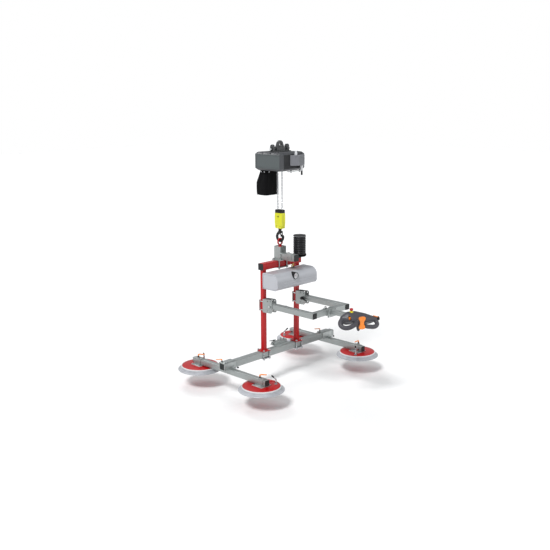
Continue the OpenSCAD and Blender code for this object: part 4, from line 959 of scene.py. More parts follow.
class LIFTER_OT_hook(bpy.types.Operator):
    """Forged hook with a swelling section, its collar, shank and latch"""
    bl_idname = "lifter.hook"
    bl_label = "Hook"

    def execute(self, context):
        z0 = 1189.5  # middle of the hook's bowl
        stations = []
        bowl = ((152, 4, 4, 38.6), (154, 7.5, 6, 38.6), (160, 12, 9, 38.6), (175, 14, 10, 38.8),
                (200, 14.6, 10.8, 39), (235, 15, 11, 39), (270, 15, 11, 39), (305, 15, 11, 39),
                (340, 14.8, 11, 39), (370, 14.2, 10.8, 38.6), (395, 13.6, 10.6, 38), (418, 13, 10.4, 37))
        for angle, radial, thick, reach in bowl:
            a = math.radians(angle)
            stations.append(station((0, reach * math.cos(a), z0 + reach * math.sin(a)),
                                    (0, -math.sin(a), math.cos(a)), (1, 0, 0), radial, thick))
        for y, z, dy, dz, radial, thick in ((10, 40, -0.75, 0.66, 13, 10.6), (1, 49, -0.3, 0.95, 12.5, 10.8),
                                            (0, 58, 0, 1, 12, 11), (0, 64, 0, 1, 11.6, 11)):
            stations.append(station((0, y, z0 + z), (0, dy, dz), (1, 0, 0), radial, thick))
        hook = loft("hook_forging", stations, ring_of(20), 70.0, 1)
        boss = rod("boss", (-11, -16, z0 + 46), (11, -16, z0 + 46), 9, bevel=1.5)
        plan = [(26, 20), (28, 30), (24, 44), (12, 60), (-8, 60), (-17, 50), (-16, 33), (-3, 30), (10, 20)]
        neck = outlined("web", [(-9, y, z0 + z) for y, z in plan], (18, 0, 0), 3, 3)
        collar = spun("collar", [(0, 61), (13, 61), (15, 63), (15, 74.5), (13.6, 76.6), (0, 76.6)],
                      (0, 0, z0), (0, 0, 1))
        shank = rod("shank", (0, 0, z0 + 76), (0, 0, z0 + 95), 10.6)
        forging = joined("hook_forging", hook, boss, neck, collar, shank)
        finish(forging, "burnished", "hook", "hook_black", "hook")
        cheeks = [block("cheek", (s * 12.8 - 1.2, -23, z0 + 20), (s * 12.8 + 1.2, -12.5, z0 + 53), 1.0)
                  for s in (-1, 1)]
        cheeks.append(rod("pin", (-15, -16, z0 + 46), (15, -16, z0 + 46), 3))
        tongue = block("tongue", (-14, -22.6, z0 + 3), (14, -18.6, z0 + 25), 1.2)
        finish(joined("latch_plate", tongue, *cheeks), "burnished", "hook_latch", "hook_black", "hook_latch")
        return {"FINISHED"}


def coil_path(radius, turns, pitch, start, lead, steps=32):
    """Points of the spiral in mm, from the lower gland to the upper one, and the way it enters them."""
    slope = pitch / (2 * math.pi * radius)
    way = Vector((0, 1, slope)).normalized()
    points = []
    for i in range(turns * steps + 1):
        a = 2 * math.pi * i / steps
        points.append(Vector((radius * math.cos(a), radius * math.sin(a), start + pitch * i / steps)))
    first, last = points[0], points[-1]
    lead_in = [first - way * lead, first - way * lead * 0.5]
    lead_out = [last + way * lead * 0.5, last + way * lead]
    return lead_in + points + lead_out, way


class LIFTER_OT_spiral_cable(bpy.types.Operator):
    """Spiral supply cable on its holder beside the post"""
    bl_idname = "lifter.spiral_cable"
    bl_label = "Spiral cable"

    def execute(self, context):
        sizes = context.scene.lifter_sizes
        cx, cy, foot = 97.8, -151.0, 1023.8
        r, d, pitch = sizes.coil_radius / MM, sizes.cable / MM, 16.4
        path, way = coil_path(r, sizes.turns, pitch, foot + d / 2 + 1.5, d + 1)
        path = [p + Vector((cx, cy, 0)) for p in path]
        cable = stroke("spiral_sheath", path, d / 2, ring_of(14), level=0)
        finish(cable, "cable_sheath", "lifter", "cable_black", "spiral_cable")

        top = foot + sizes.turns * pitch + d + 3
        edge = r + d / 2
        low = foot - 6
        disc = [(0, low), (edge - 2, low), (edge, low + 2), (edge, low + 4.5), (edge - 1.5, foot), (0, foot)]
        cap = [(0, top), (edge - 1, top), (edge, top + 1.5), (edge - 1, top + 5), (edge - 6, top + 6),
               (0, top + 6)]
        holder = [spun(name, plan, (cx, cy, 0), (0, 0, 1), 72)
                  for name, plan in (("disc", disc), ("cap", cap))]
        holder.append(rod("core", (cx, cy, foot - 2), (cx, cy, top + 2), 15))
        holder.append(block("shelf", (30, cy - 20, foot - 20), (cx, cy + 20, foot - 5), 1.5))
        holder.append(block("shoe", (30, cy - 34, 993.8), (36, cy + 34, 1027.8), 1.2))
        for p, side in ((path[0], -1), (path[-1], 1)):
            far = p + way * 16 * side
            holder.append(rod("gland", p, far, d / 2 + 0.5, d / 2 - 0.4, 0.8))
        holder.append(block("stay", (cx + r - 8, cy - d - 17, low), (cx + r + 8, cy - d - 2, foot + 2), 1))
        finish(joined("coil_stand", *holder), "black_plastic", "lifter", "black_plastic", "coil_holder")
        plan = [(edge - 3, top - 4.2), (edge - 0.6, top - 4.2), (edge - 0.6, top - 0.4),
                (edge - 3, top - 0.4)]
        band = spun("coil_band", plan, (cx, cy, 0), (0, 0, 1), 72)
        finish(band, "grey_plastic", "lifter", "box_grey")
        return {"FINISHED"}


class LIFTER_OT_post(bpy.types.Operator):
    """Weld beads, washers and the air fitting beside the suspension post"""
    bl_idname = "lifter.post"
    bl_label = "Suspension post"

    def execute(self, context):
        def square(half, z, x=0):
            way = round_way(x - half, x + half, -half, half, min(8, half / 3), 2)
            return [(px, py, z) for px, py in way]

        beads = [bead("bead", square(40.4, 984.2), 2.6)]
        side = [(p[0], -40.2, 1017.8 + p[1]) for p in square(30.2, 0)]
        beads.append(bead("bead", side, 2.4))
        finish(joined("post_welds", *beads), "zinc_plate", "lifter", "zinc_tube")
        red = [bead("bead", square(20.6, 167.2, sx * COLUMN_X), 2.6) for sx in (-1, 1)]
        red += [bead("bead", square(20.4, 917.0, sx * COLUMN_X), 2.0) for sx in (-1, 1)]
        finish(joined("column_welds", *red), "frame_red", "lifter", "frame_red")
        washers = [spun("washer", [(5.4, 0), (10.5, 0), (11, 0.6), (11, 1.6), (10.4, 2), (5.4, 2)],
                        (sx * COLUMN_X + ax * 36.5, ay * 36.5, 166.6), (0, 0, 1), 32)
                   for sx in (-1, 1) for ax, ay in CORNERS]
        washers += [spun("washer", [(5.4, 0), (10.5, 0), (11, 0.6), (11, 1.4), (5.4, 1.4)],
                         (ax * 50, ay * 37, 983.6), (0, 0, 1), 32) for ax, ay in CORNERS]
        finish(joined("rod_washers", *washers), "zinc_cover", "lifter", "plain_steel")

        base = nut("base", (99, -70, 899.5), (99, -70, 909), 22)
        plan = [(0, 908), (7.5, 908), (7.5, 914), (9, 915), (9, 922), (6.5, 924), (6.5, 932), (8, 933),
                (8, 940), (0, 940)]
        body = spun("body", plan, (99, -70, 0), (0, 0, 1), 32)
        bend = [(99, 926), (90, 928), (82, 926), (76, 918), (75, 906), (75, 899)]
        elbow = stroke("elbow", [(x, -70, z) for x, z in bend], 4.2, ring_of(10))
        finish(joined("air_fitting", body, elbow), "brass", "lifter", "plain_steel")
        finish(base, "black_plastic", "lifter", "black_plastic")
        return {"FINISHED"}


def cover_plan(inset, notches=()):
    """The cover's side outline as [distance from its back, height above its foot], in mm."""
    return ([(inset, inset)] + bow(151, 34, 34 - inset, -90, 0, 8) + list(notches)
            + bow(117, 76, 68 - inset, 0, 90, 16) + bow(14, 130, 14 - inset, 90, 180, 6))


class LIFTER_OT_pump_cover(bpy.types.Operator):
    """Extruded pump cover with fine grooves, end plates and screws"""
    bl_idname = "lifter.pump_cover"
    bl_label = "Pump cover"

    def execute(self, context):
        foot, back = COVER_FOOT, COVER_BACK
        x, y, z = GAUGE_AT
        grooves = []
        for h in (42, 50, 66, 72):
            grooves += [(185, h - 0.8), (184, h - 0.4), (184, h + 0.4), (185, h + 0.8)]
        points = [(-257, back - d, foot + h) for d, h in cover_plan(0, grooves)]
        cover = outlined("pump_cover_shell", points, (514, 0, 0))
        hollow = block("hollow", (-247, back - 8, foot + 22), (247, back + 5, foot + 122), 2, 1)
        gauge_hole = rod("hole", (x, -160, z), (x, -230, z), 32.2, bevel=0, sides=64)
        top = [block("groove", (-258, back - d - 0.7, 899.6), (258, back - d + 0.7, 903), 0.2, 1)
               for d in (60, 74, 96)]
        cut(cover, hollow, gauge_hole, *top)
        finish(smooth(cover, 28), "cover_silver", "lifter", "cover_grey", "pump_cover")
        ends = []
        for side in (-1, 1):
            plan = [(side * 257, back - d, foot + h) for d, h in cover_plan(-1.2)]
            plate = outlined("plate", plan, (side * 5, 0, 0), 1.6, 3)
            with editing(plate) as edit:
                edit.faces(lambda c, n: abs(c.x) > 261.5 and abs(n.x) > 0.9)
                edit.inset(7)
                edit.lift(-0.9)
                edit.outwards()
            ends.append(smooth(plate, 28))
        finish(joined("pump_cover_ends", *ends), "cover_end", "lifter", "cover_grey")
        screws = [rod("screw", (side * 261, back - d, foot + h), (side * 263.4, back - d, foot + h), 3.6,
                      bevel=0.8, sides=20)
                  for side in (-1, 1) for d, h in ((16, 14), (16, 126), (150, 18), (166, 74), (96, 132))]
        finish(joined("pump_cover_screws", *screws), "steel", "lifter", "plain_steel")
        ring = spun("gauge_trim", [(35.4, -1.4), (36.4, 1.0), (38.0, 1.4), (39.4, 0.2), (39.6, -1.6)],
                    (x, 0, z), (0, -1, 0), 96)
        with editing(ring) as edit:
            def seat(p):
                h = min(p.z - foot, 143.5)
                front = 185 if h < 76 else 117 + math.sqrt(max(0.0, 68 ** 2 - (h - 76) ** 2))
                return p.x, back - front + p.y, p.z if p.z < 898 else 898 + (p.z - 898) * 0.35
            edit.move(seat)
        finish(ring, "cover_end", "lifter", "cover_grey")
        return {"FINISHED"}


class LIFTER_OT_gauge(bpy.types.Operator):
    """Vacuum gauge with its bezel, dial, ticks, numbers and glass"""
    bl_idname = "lifter.gauge"
    bl_label = "Gauge"

    def execute(self, context):
        x, y, z = GAUGE_AT
        plan = [(0, 62), (27, 62), (31.5, 58), (31.5, 3), (30.6, 0.8), (28.5, 0), (27.6, 1.2), (27.4, 6.6),
                (2, 6.6), (0, 6.6)]
        case = spun("gauge_case", plan, GAUGE_AT, (0, 1, 0), 72)
        stem = rod("stem", (x, y + 60, z), (x, COVER_BACK - 0.5, z), 7)
        finish(joined("gauge_case", case, stem), "black_plastic", "lifter", "gauge_black", "gauge")
        dial = spun("gauge_dial", [(2.2, 6.4), (27.3, 6.4), (27.3, 5.6), (26.8, 5.3), (2.2, 5.3)], (x, y, z),
                    (0, 1, 0), 72)
        finish(dial, "dial", "lifter", "gauge_black")
        marks = []
        for i in range(31):
            a = math.radians(225 - 9 * i)
            big = i % 5 == 0
            inner, outer, half = (20.5 if big else 22.6), 25.2, (0.55 if big else 0.25)
            tick = block("tick", (-half, -0.2, inner), (half, 0.25, outer), 0.08, 1)
            turn = Matrix.Rotation(math.pi / 2 - a, 4, "Y")
            tick.data.transform(Matrix.Translation(at(x, y + 5.1, z)) @ turn @ TO_ORIGIN)
            marks.append(tick)
        for i in range(7):
            a = math.radians(225 - 45 * i)
            clear()
            bpy.ops.object.text_add(location=at(x + 16.4 * math.cos(a), y + 4.9, z + 16.4 * math.sin(a)),
                                    rotation=(math.pi / 2, 0, 0))
            word = newest("number")
            word.data.body = str(i * 10)
            word.data.size = 0.0058
            word.data.align_x, word.data.align_y = "CENTER", "CENTER"
            word.data.extrude = 0.0001
            bpy.ops.object.convert(target="MESH")
            marks.append(apply(bpy.context.object))
        finish(joined("gauge_marks", *marks), "mark_black", "lifter", "gauge_black")
        pane = spun("gauge_pane", [(0, 1.6), (27.5, 1.6), (27.5, 2.4), (0, 2.4)], (x, y, z), (0, 1, 0), 64)
        finish(pane, "gauge_glass", "lifter", "gauge_black")
        return {"FINISHED"}


def clamp_lever(name, place, turn, size, arm):
    """A clamping lever in two pieces: a hub and a bent arm with a round end."""
    x, y, z = place
    c, s = math.cos(math.radians(turn)), math.sin(math.radians(turn))
    hub = spun(name + "_hub",
               [(0, 0), (size * 0.65, 0), (size * 0.66, size * 0.5), (size * 0.57, size), (0, size)],
               (x, y, z), (0, 0, 1), 32)
    line = [(0, size * 0.95, 0.56), (0, size * 1.5, 0.60), (size * 0.12, size * 2.0, 0.60),
            (size * 0.45, size * 2.3, 0.52), (size * 1.0, size * 2.32, 0.44), (arm * 0.5, size * 2.2, 0.40),
            (arm * 0.86, size * 2.1, 0.44), (arm * 0.97, size * 2.12, 0.42), (arm * 1.03, size * 2.12, 0.22)]
    handle = stroke(name, [(x + c * u, y + s * u, z + h) for u, h, r in line],
                    [r * size for u, h, r in line], ring_of(12), (0.01, 0.02, 1))
    return hub, handle


def orange_lever(name, body, *shape):
    """A clamping lever that is a body of its own, named as its node is."""
    hub, handle = clamp_lever(name, *shape)
    finish(hub, "black_plastic", body, "black_plastic")
    finish(handle, "lever_orange", body, "lever_orange", body)


class LIFTER_OT_levers(bpy.types.Operator):
    """Clamping levers of the cross beams, the stem, the pivots and the manifold"""
    bl_idname = "lifter.levers"
    bl_label = "Levers"

    def execute(self, context):
        for side, name in ((-1, "left"), (1, "right")):
            place = (side * CROSS_X - 75, 14, LID_TOP + 5.3)
            orange_lever("beam_lever_" + name, "cross_lever_" + name, place, 135, 10, 52)
        hub, handle = clamp_lever("shift_lever", (-41, -593, 630.7), 180, 8, 28)
        lever = joined("shift_lever", handle, hub)
        finish(lever, "black_plastic", "stem_lever", "black_plastic", "stem_lever")

        inner = COLUMN_X - 35.7
        parts = []
        r = 7.2
        for side, a, reach in ((-1, 85, 146), (1, 106, 68)):
            x = side * (inner - 12)
            parts.append(spun("hub", [(0, 0), (14, 0), (15, 1.5), (14.6, 8), (12.4, 20), (11, 22), (0, 22)],
                              (side * inner, PIVOT_Y, PIVOT_Z), (-side, 0, 0), 40))
            dy, dz = -math.sin(math.radians(a)), math.cos(math.radians(a))
            steps = [t * reach for t in (0, 0.12, 0.3, 0.55, 0.8, 0.93, 0.99, 1.0)]
            parts.append(stroke("arm", [(x, PIVOT_Y + dy * t, PIVOT_Z + dz * t) for t in steps],
                                [r * share for share in (1, 0.98, 0.86, 0.76, 0.82, 0.86, 0.6, 0.25)],
                                ring_of(12), (1, 0, 0)))
            parts.append(rod("stud", (side * (inner - 1), PIVOT_Y, PIVOT_Z),
                             (side * (inner + 5), PIVOT_Y, PIVOT_Z), 3.9))
        finish(joined("pivot_levers", *parts), "black_plastic", "tilt_levers", "black_plastic", "tilt_levers")

        x, y, z = VALVE_AT
        c, s = math.cos(math.radians(160)), math.sin(math.radians(160))
        grip = stroke("valve_grip", [(x + c * t, y + s * t, z + 4) for t in (4, 8, 20, 36, 45, 48)],
                      [(5, 3), (5, 3), (4.6, 2.8), (5.2, 3), (4.4, 2.4), (2, 1.2)], rounded(12, 3.0))
        hub = spun("hub", [(0, 0), (7, 0), (7.5, 1), (7.5, 7), (6.6, 8), (0, 8)], VALVE_AT, (0, 0, 1), 32)
        stem = rod("stem", (x, y, z - 9), (x, y, z + 1), 3)
        lever = joined("manifold_grip", grip, hub, stem)
        finish(lever, "black_plastic", "manifold_lever", "black_plastic", "manifold_lever")
        return {"FINISHED"}


class LIFTER_OT_brackets(bpy.types.Operator):
    """Bolts, straps and tie rods on the pivots of the steering frame"""
    bl_idname = "lifter.brackets"
    bl_label = "Pivot bolts"

    def execute(self, context):
        parts = []
        for side in (-1, 1):
            x = side * COLUMN_X
            parts += [nut("bolt", (x + dx, -32, z), (x + dx, -38, z), 13)
                      for dx in (-20, 20) for z in (545, 637)]
            parts.append(nut("bolt", (side * 257.4, PIVOT_Y, PIVOT_Z), (side * 262, PIVOT_Y, PIVOT_Z),
                             19, 1.0))
            parts.append(block("strap", (x - 33, 21, 540), (x + 33, 25, 642), 1.0))
            ties = [(x + dx, z) for dx in (-27, 27) for z in (552, 630)]
            parts += [nut("nut", (px, 25, z), (px, 31, z), 13) for px, z in ties]
            parts += [rod("rod", (px, -31, z), (px, 33, z), 3.9, bevel=0.4, sides=20) for px, z in ties]
        finish(joined("pivot_bolts", *parts), "zinc_cover", "lifter", "plain_steel")
        parts = [nut("bolt", (x, -636, z), (x, -641, z), 12) for x in (-46, 46) for z in (566, 620)]
        finish(joined("slide_bolts", *parts), "zinc_cover", "handle_stem", "plain_steel")
        return {"FINISHED"}


HANDLE_TURN = Matrix.Rotation(math.radians(-25), 4, "Z")
HANDLE_PLACE = Matrix.Translation(at(0, SWIVEL_Y, PIVOT_Z)) @ HANDLE_TURN


def in_hand(thing):
    """Moves a piece drawn as [across, -forward, up] about the swivel to the handle's place."""
    thing.data.transform(HANDLE_PLACE @ TO_ORIGIN)
    return thing


class LIFTER_OT_handle(bpy.types.Operator):
    """Moulded handle with its rocker, switch, stop button, knob and strip"""
    bl_idname = "lifter.handle"
    bl_label = "Handle"

    def execute(self, context):
        sizes = context.scene.lifter_sizes
        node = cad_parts["handle_body"]
        body = node.copy()
        body.data = node.data.copy()
        for key in list(body.keys()):
            del body[key]
        body.parent = None
        body.name = body.data.name = "handle_shell"
        context.scene.collection.objects.link(body)
        body.data.materials.clear()
        with editing(body):
            bpy.ops.mesh.remove_doubles(threshold=0.00002)
        modify(body, "REMESH", mode="VOXEL", voxel_size=sizes.voxel)
        modify(body, "SMOOTH", factor=0.5, iterations=9)
        modify(body, "DECIMATE", ratio=0.35)
        smooth(body, 60)
        finish(body, "handle_grey", "handle", "handle_grey", "handle_body")

        half = [(17, 0), (18, -16), (25.5, -29), (27.5, -42), (23, -51.5), (0, -54)]
        upper = [(-17, 0), (-19, 14), (-28, 28), (-30.5, 40), (-27, 50), (-17, 53.5), (0, 54)]
        plan = upper + [(-x, z) for x, z in upper[-2:0:-1]] + half + [(-x, z) for x, z in half[-2:0:-1]]
        rocker = outlined("rocker_cap", [(x, -137, z - 15) for x, z in plan], (0, -13, 0))
        with editing(rocker) as edit:
            for z in range(-64, 40, 8):
                edit.slice((0, -140, z), (0, 0, 1))
            for x in (-20, -10, 0, 10, 20):
                edit.slice((x, -140, 0), (1, 0, 0))
            edit.everything()

            def crown(p):
                far = abs(p.z + 15) / 54.0
                dip = 1.0 - min(1.0, abs(p.x) / 30.0) ** 2
                return p.x, p.y if p.y > -149 else p.y + 4.5 * (1 - far) * dip, p.z
            edit.move(crown)
            edit.outwards()
        soften(rocker, 1.8, 3, 40)
        finish(in_hand(rocker), "lever_orange", "lift_rocker", "lever_orange", "lift_rocker")

        key = block("switch_key", (-101, -104.3, 8.5), (-85, -88.3, 33.5), 2.2, 3)
        with editing(key) as edit:
            edit.move(lambda p: (p.x, p.y + (33.5 - p.z) * 0.24 * (p.y < -96), p.z))
        finish(in_hand(key), "lever_orange", "suction_switch", "lever_orange", "suction_switch")
        bezel = block("bezel", (-105, -94, -1), (-81, -90.5, 43), 1.5, 2)
        cut(bezel, block("hole", (-102.2, -100, 3.4), (-83.8, -80, 38.6), 1.0, 2))
        finish(in_hand(soften(bezel, 0.4)), "handle_dark", "handle", "black_plastic")

        stop_at, knob_at = (-58, -56, 58), (182, -60, -16)
        stop = spun("stop_collar", [(6.2, 0), (16.6, 0), (16.6, 11), (15.6, 14), (13, 15), (6.2, 15)],
                    stop_at, (0, 0, 1), 64)
        finish(in_hand(stop), "stop_yellow", "handle", "stop_yellow", "stop_base")
        plan = [(0, 1), (5.8, 1), (5.8, 19), (11.4, 19.6), (14.8, 25.5), (15.6, 28.8), (15.6, 33),
                (14.6, 35.8), (11.5, 38.2), (6, 39), (0, 39)]
        cap = spun("stop_mushroom", plan, stop_at, (0, 0, 1), 64, 40)
        finish(in_hand(cap), "stop_red", "stop_button", "stop_red", "stop_button")

        plan = [(0, 0), (19, 0), (19, 12), (18.2, 16), (15.6, 19.6), (12.4, 21), (10, 20.4), (9.4, 19.2),
                (0, 19.2)]
        knob = spun("knob", plan, knob_at, (1, 0, 0), 64)
        finish(in_hand(knob), "black_plastic", "handle", "black_plastic", "side_knob")
        hub = spun("knob_hub", [(0, 19.2), (8.6, 19.2), (8.2, 20.4), (0, 20.8)], knob_at, (1, 0, 0), 48)
        finish(in_hand(hub), "grey_plastic", "handle", "box_grey")
        line = [(148, 11, 1.5), (150, 10.6, 3.4), (158, 8.4, 4), (170, 4.4, 4.2), (182, 0.6, 4),
                (190, -2, 3.2), (192, -2.6, 1.5)]
        places = [station((x, -60, z), (1, 0, -0.3), (0, 0, 1), 11.6, h) for x, z, h in line]
        strip = loft("orange_strip", places, rounded(20, 4.0), 50, 1)
        finish(in_hand(strip), "lever_orange", "handle", "lever_orange")
        return {"FINISHED"}


def square_bar(name, low, high):
    """A square bar along Y with round long edges."""
    return block(name, low, high, 5, 4, lambda c, d: abs(d.y) > 0.9)


class LIFTER_OT_cross_beams(bpy.types.Operator):
    """Cross beams with their caps, saddles, nuts and tie knobs"""
    bl_idname = "lifter.cross_beams"
    bl_label = "Cross beams"

    def execute(self, context):
        for side, name in ((-1, "left"), (1, "right")):
            body = "cross_" + name
            x = side * CROSS_X
            tube = square_bar("cross_tube_" + name, (x - CROSS_HALF, -CROSS_END, CROSS_LOW),
                              (x + CROSS_HALF, CROSS_END, CROSS_TOP))
            finish(tube, "zinc_tube", body, "zinc_tube", "cross_beam_" + name)
            caps = []
            for end in (-1, 1):
                near, far = sorted((end * CROSS_END, end * (CROSS_END + 4)))
                cap = block("cap", (x - CROSS_HALF, near, CROSS_LOW), (x + CROSS_HALF, far, CROSS_TOP),
                            3.6, 3)
                with editing(cap) as edit:
                    edit.faces(lambda c, n: abs(c.y) > CROSS_END + 3.5 and abs(n.y) > 0.95)
                    edit.inset(6)
                    edit.push((0, -end * 0.8, 0))
                caps.append(soften(cap, 0.5))
            finish(joined("cross_caps_" + name, *caps), "cap_plastic", body, "black_plastic")
            saddle = [block("cheek", (x - 90, s * 33.4 - 3, CROSS_TOP), (x + 45, s * 33.4 + 3, LID_TOP), 1.0)
                      for s in (-1, 1)]
            saddle.append(block("lid", (x - 90, -36.4, LID_TOP - 6), (x + 45, 36.4, LID_TOP), 1.0))
            saddle.append(spun("boss", [(3.6, 0), (10, 0), (10, 4.4), (9.4, 5.2), (3.6, 5.2)],
                               (x - 75, 14, 165), (0, 0, 1), 36))
            saddle.append(block("tab", (x - 8, -70, CROSS_TOP), (x + 8, -54, 112), 2))
            for s in (-1, 1):
                line = [(x - 88, s * 37.4, 99.4), (x, s * 37.6, 99.6), (x + 43, s * 37.4, 99.4)]
                saddle.append(bead("bead", line, 2.2))
            finish(joined("saddle_" + name, *saddle), "zinc_plate", body, "zinc_tube")
            bolts = [nut("nut", (x + a, -18, LID_TOP), (x + a, -18, 171), 14) for a in (-64, -36)]
            bolts.append(rod("bolt", (x, -62, 106.4), (x + 41, -62, 106.4), 4))
            finish(joined("saddle_bolts_" + name, *bolts), "steel", body, "plain_steel")
            knob = spun("tie_knob_" + name,
                        [(0, -8), (5.6, -8), (7.6, -5), (8.2, 0), (7.6, 5), (5.6, 8), (0, 8)],
                        (x + 45, -62, 106.4), (1, 0, 0), 32, 50)
            finish(knob, "black_plastic", body, "black_plastic")
        return {"FINISHED"}


class LIFTER_OT_pads(bpy.types.Operator):
    """Suction pads with their lips, foot plates, sleeves, levers and valves"""
    bl_idname = "lifter.pads"
    bl_label = "Suction pads"

    def execute(self, context):
        middle, up = (0, 0, 0), (0, 0, 1)
        plan = [(0, 26), (162, 26), (163.4, 27.2), (163.4, 35.8), (162.4, 37.4), (160.6, 38), (60, 38),
                (0, 38)]
        disc = spun("pad_plate", plan, middle, up, 128)
        plan = [(163.6, 26.4), (170, 26.4), (171, 28), (169.8, 36.4), (168.4, 37.8), (164.8, 37.8),
                (163.6, 36.6)]
        rim = spun("pad_rim", plan, middle, up, 128)
        plan = [(139.6, 18), (165, 16), (184, 5.4), (193, 0.2), (199.4, 0), (200, 1.2), (200, 4.2),
                (198.6, 6.0), (190, 9.6), (189, 10.8), (181.5, 14.6), (180.4, 16.0), (174, 20.6),
                (171.4, 25.8), (139.6, 25.8)]
        lip = spun("pad_skirt", plan, middle, up, 128, 24)
        foot = [block("foot", (-59, -59, 38), (59, 59, 44), 1.2, 2)]
        foot += [bead("bead", [(x, -30, 45), (x, 0, 45.2), (x, 30, 45)], 2.0) for x in (-28, 28)]
        foot = joined("pad_foot", *foot)
        sleeve = block("pad_sleeve", (-29.4, -40, 44), (29.4, 40, 102.8), 9, 5, lambda c, d: abs(d.y) > 0.9)
        cut(sleeve, square_bar("bore", (-25.4, -50, 48), (25.4, 50, 98.8)))
        soften(sleeve, 0.6)
        boss = spun("boss", [(4.4, 99.2), (12, 99.2), (12, 109.6), (11, 110.8), (4.4, 110.8)], (17, 0, 0),
                    (0, 0, 1), 40)
        sleeve = joined("pad_sleeve", sleeve, boss)
        bolts = joined("pad_bolts", *[nut("bolt", (sx * 47, sy * 47, 44), (sx * 47, sy * 47, 50), 14)
                                      for sx, sy in CORNERS])
        wx, wy = -108, 67
        along, across = Vector((0.5, -0.5, 0.7071)), Vector((0.7071, 0.7071, 0))
        hinge = Vector((wx, wy, 80))
        post = spun("valve_foot", [(0, 37.8), (14, 37.8), (14.6, 39), (13, 42), (9.6, 49), (9, 51), (0, 51)],
                    (wx, wy, 0), (0, 0, 1), 40)
        column = spun("column", [(0, 50), (7, 50), (7, 62), (8, 63), (8, 69), (6.6, 71), (0, 71)],
                      (wx, wy, 0), (0, 0, 1), 32)
        fork = rod("fork", hinge + across * 2.9, hinge - across * 2.9, 6)
        web = block("web", (-5.8, -2.9, 69), (5.8, 2.9, 80), 0.6)
        web.data.transform(placed(wx, wy, 135))
        neck = joined("valve_neck", column, fork, web)
        line = [(-28.4, 34, 68), (-34, 36.3, 68), (-60, 47.2, 68.4), (-90, 59.6, 68.4), (-99, 63.3, 68),
                (-104, 65.4, 68)]
        pipe = stroke("vacuum_pipe", line, [4.4] + [3.5] * 5, ring_of(12))
        union = nut("pipe_union", (-28, 33.8, 68), (-37, 37.5, 68), 13, 0.8)

        fork_parts = [rod("pin", hinge - across * 7, hinge + across * 7, 3)]
        for s in (-1, 1):
            fork_parts.append(rod("ear", hinge + across * (s * 3.6), hinge + across * (s * 6.4), 6.8))
            line = [hinge + across * s * 5 + along * t for t in (0, 4, 12, 16)]
            fork_parts.append(stroke("cheek", line, [(1.4, 4)] * 3 + [(1.4, 3.6)], rounded(12, 5.0), level=0))
        fork_parts.append(rod("yoke", hinge + along * 10, hinge + along * 17, 6.4, 5))
        fork_parts.append(rod("neck", hinge + along * 15, hinge + along * 26, 4))
        valve = joined("valve_neck_arm", *fork_parts)
        grip = stroke("valve_knob", [hinge + along * t for t in (24, 24.6, 27, 32, 38, 45, 49, 51.4, 52)],
                      [3.4, 6.2, 7, 7, 6.2, 7, 7, 5.6, 2.4], ring_of(16))

        looks = ((disc, "frame_red", "frame_red"), (rim, "lip_pale", "lip_grey"),
                 (lip, "lip_rubber", "lip_grey"), (foot, "zinc_cover", "plain_steel"),
                 (sleeve, "zinc_tube", "zinc_tube"), (bolts, "steel", "plain_steel"),
                 (post, "grey_plastic", "box_grey"), (neck, "steel", "plain_steel"),
                 (pipe, "frame_red", "frame_red"), (union, "black_plastic", "black_plastic"))
        stands_for = {"pad_plate": "pad_disc_", "pad_skirt": "pad_lip_"}
        for name, (sx, sy) in PADS.items():
            mirror = Matrix.Diagonal((sx, sy, 1, 1))
            place = Matrix.Translation((sx * CROSS_X * MM, sy * PAD_Y * MM, 0)) @ mirror
            for source, look, slot in looks:
                made = copied(source, source.name + "_" + name, place)
                nodes = [stands_for[source.name] + name] if source.name in stands_for else []
                finish(made, look, "pad_" + name, slot, *nodes)
            turning = "pad_valve_" + name
            finish(copied(valve, "valve_arm_" + name, place), "steel", turning, "plain_steel")
            knob = copied(grip, "valve_knob_" + name, place)
            finish(knob, "black_plastic", turning, "black_plastic", turning)
            place = (sx * (CROSS_X + 17), sy * PAD_Y, 111.1)
            orange_lever("pad_handle_" + name, "pad_lever_" + name, place, -45 if sx < 0 else 180, 12, 58)
        for source in (disc, rim, lip, foot, sleeve, bolts, post, neck, pipe, union, valve, grip):
            bpy.data.objects.remove(source)
        return {"FINISHED"}


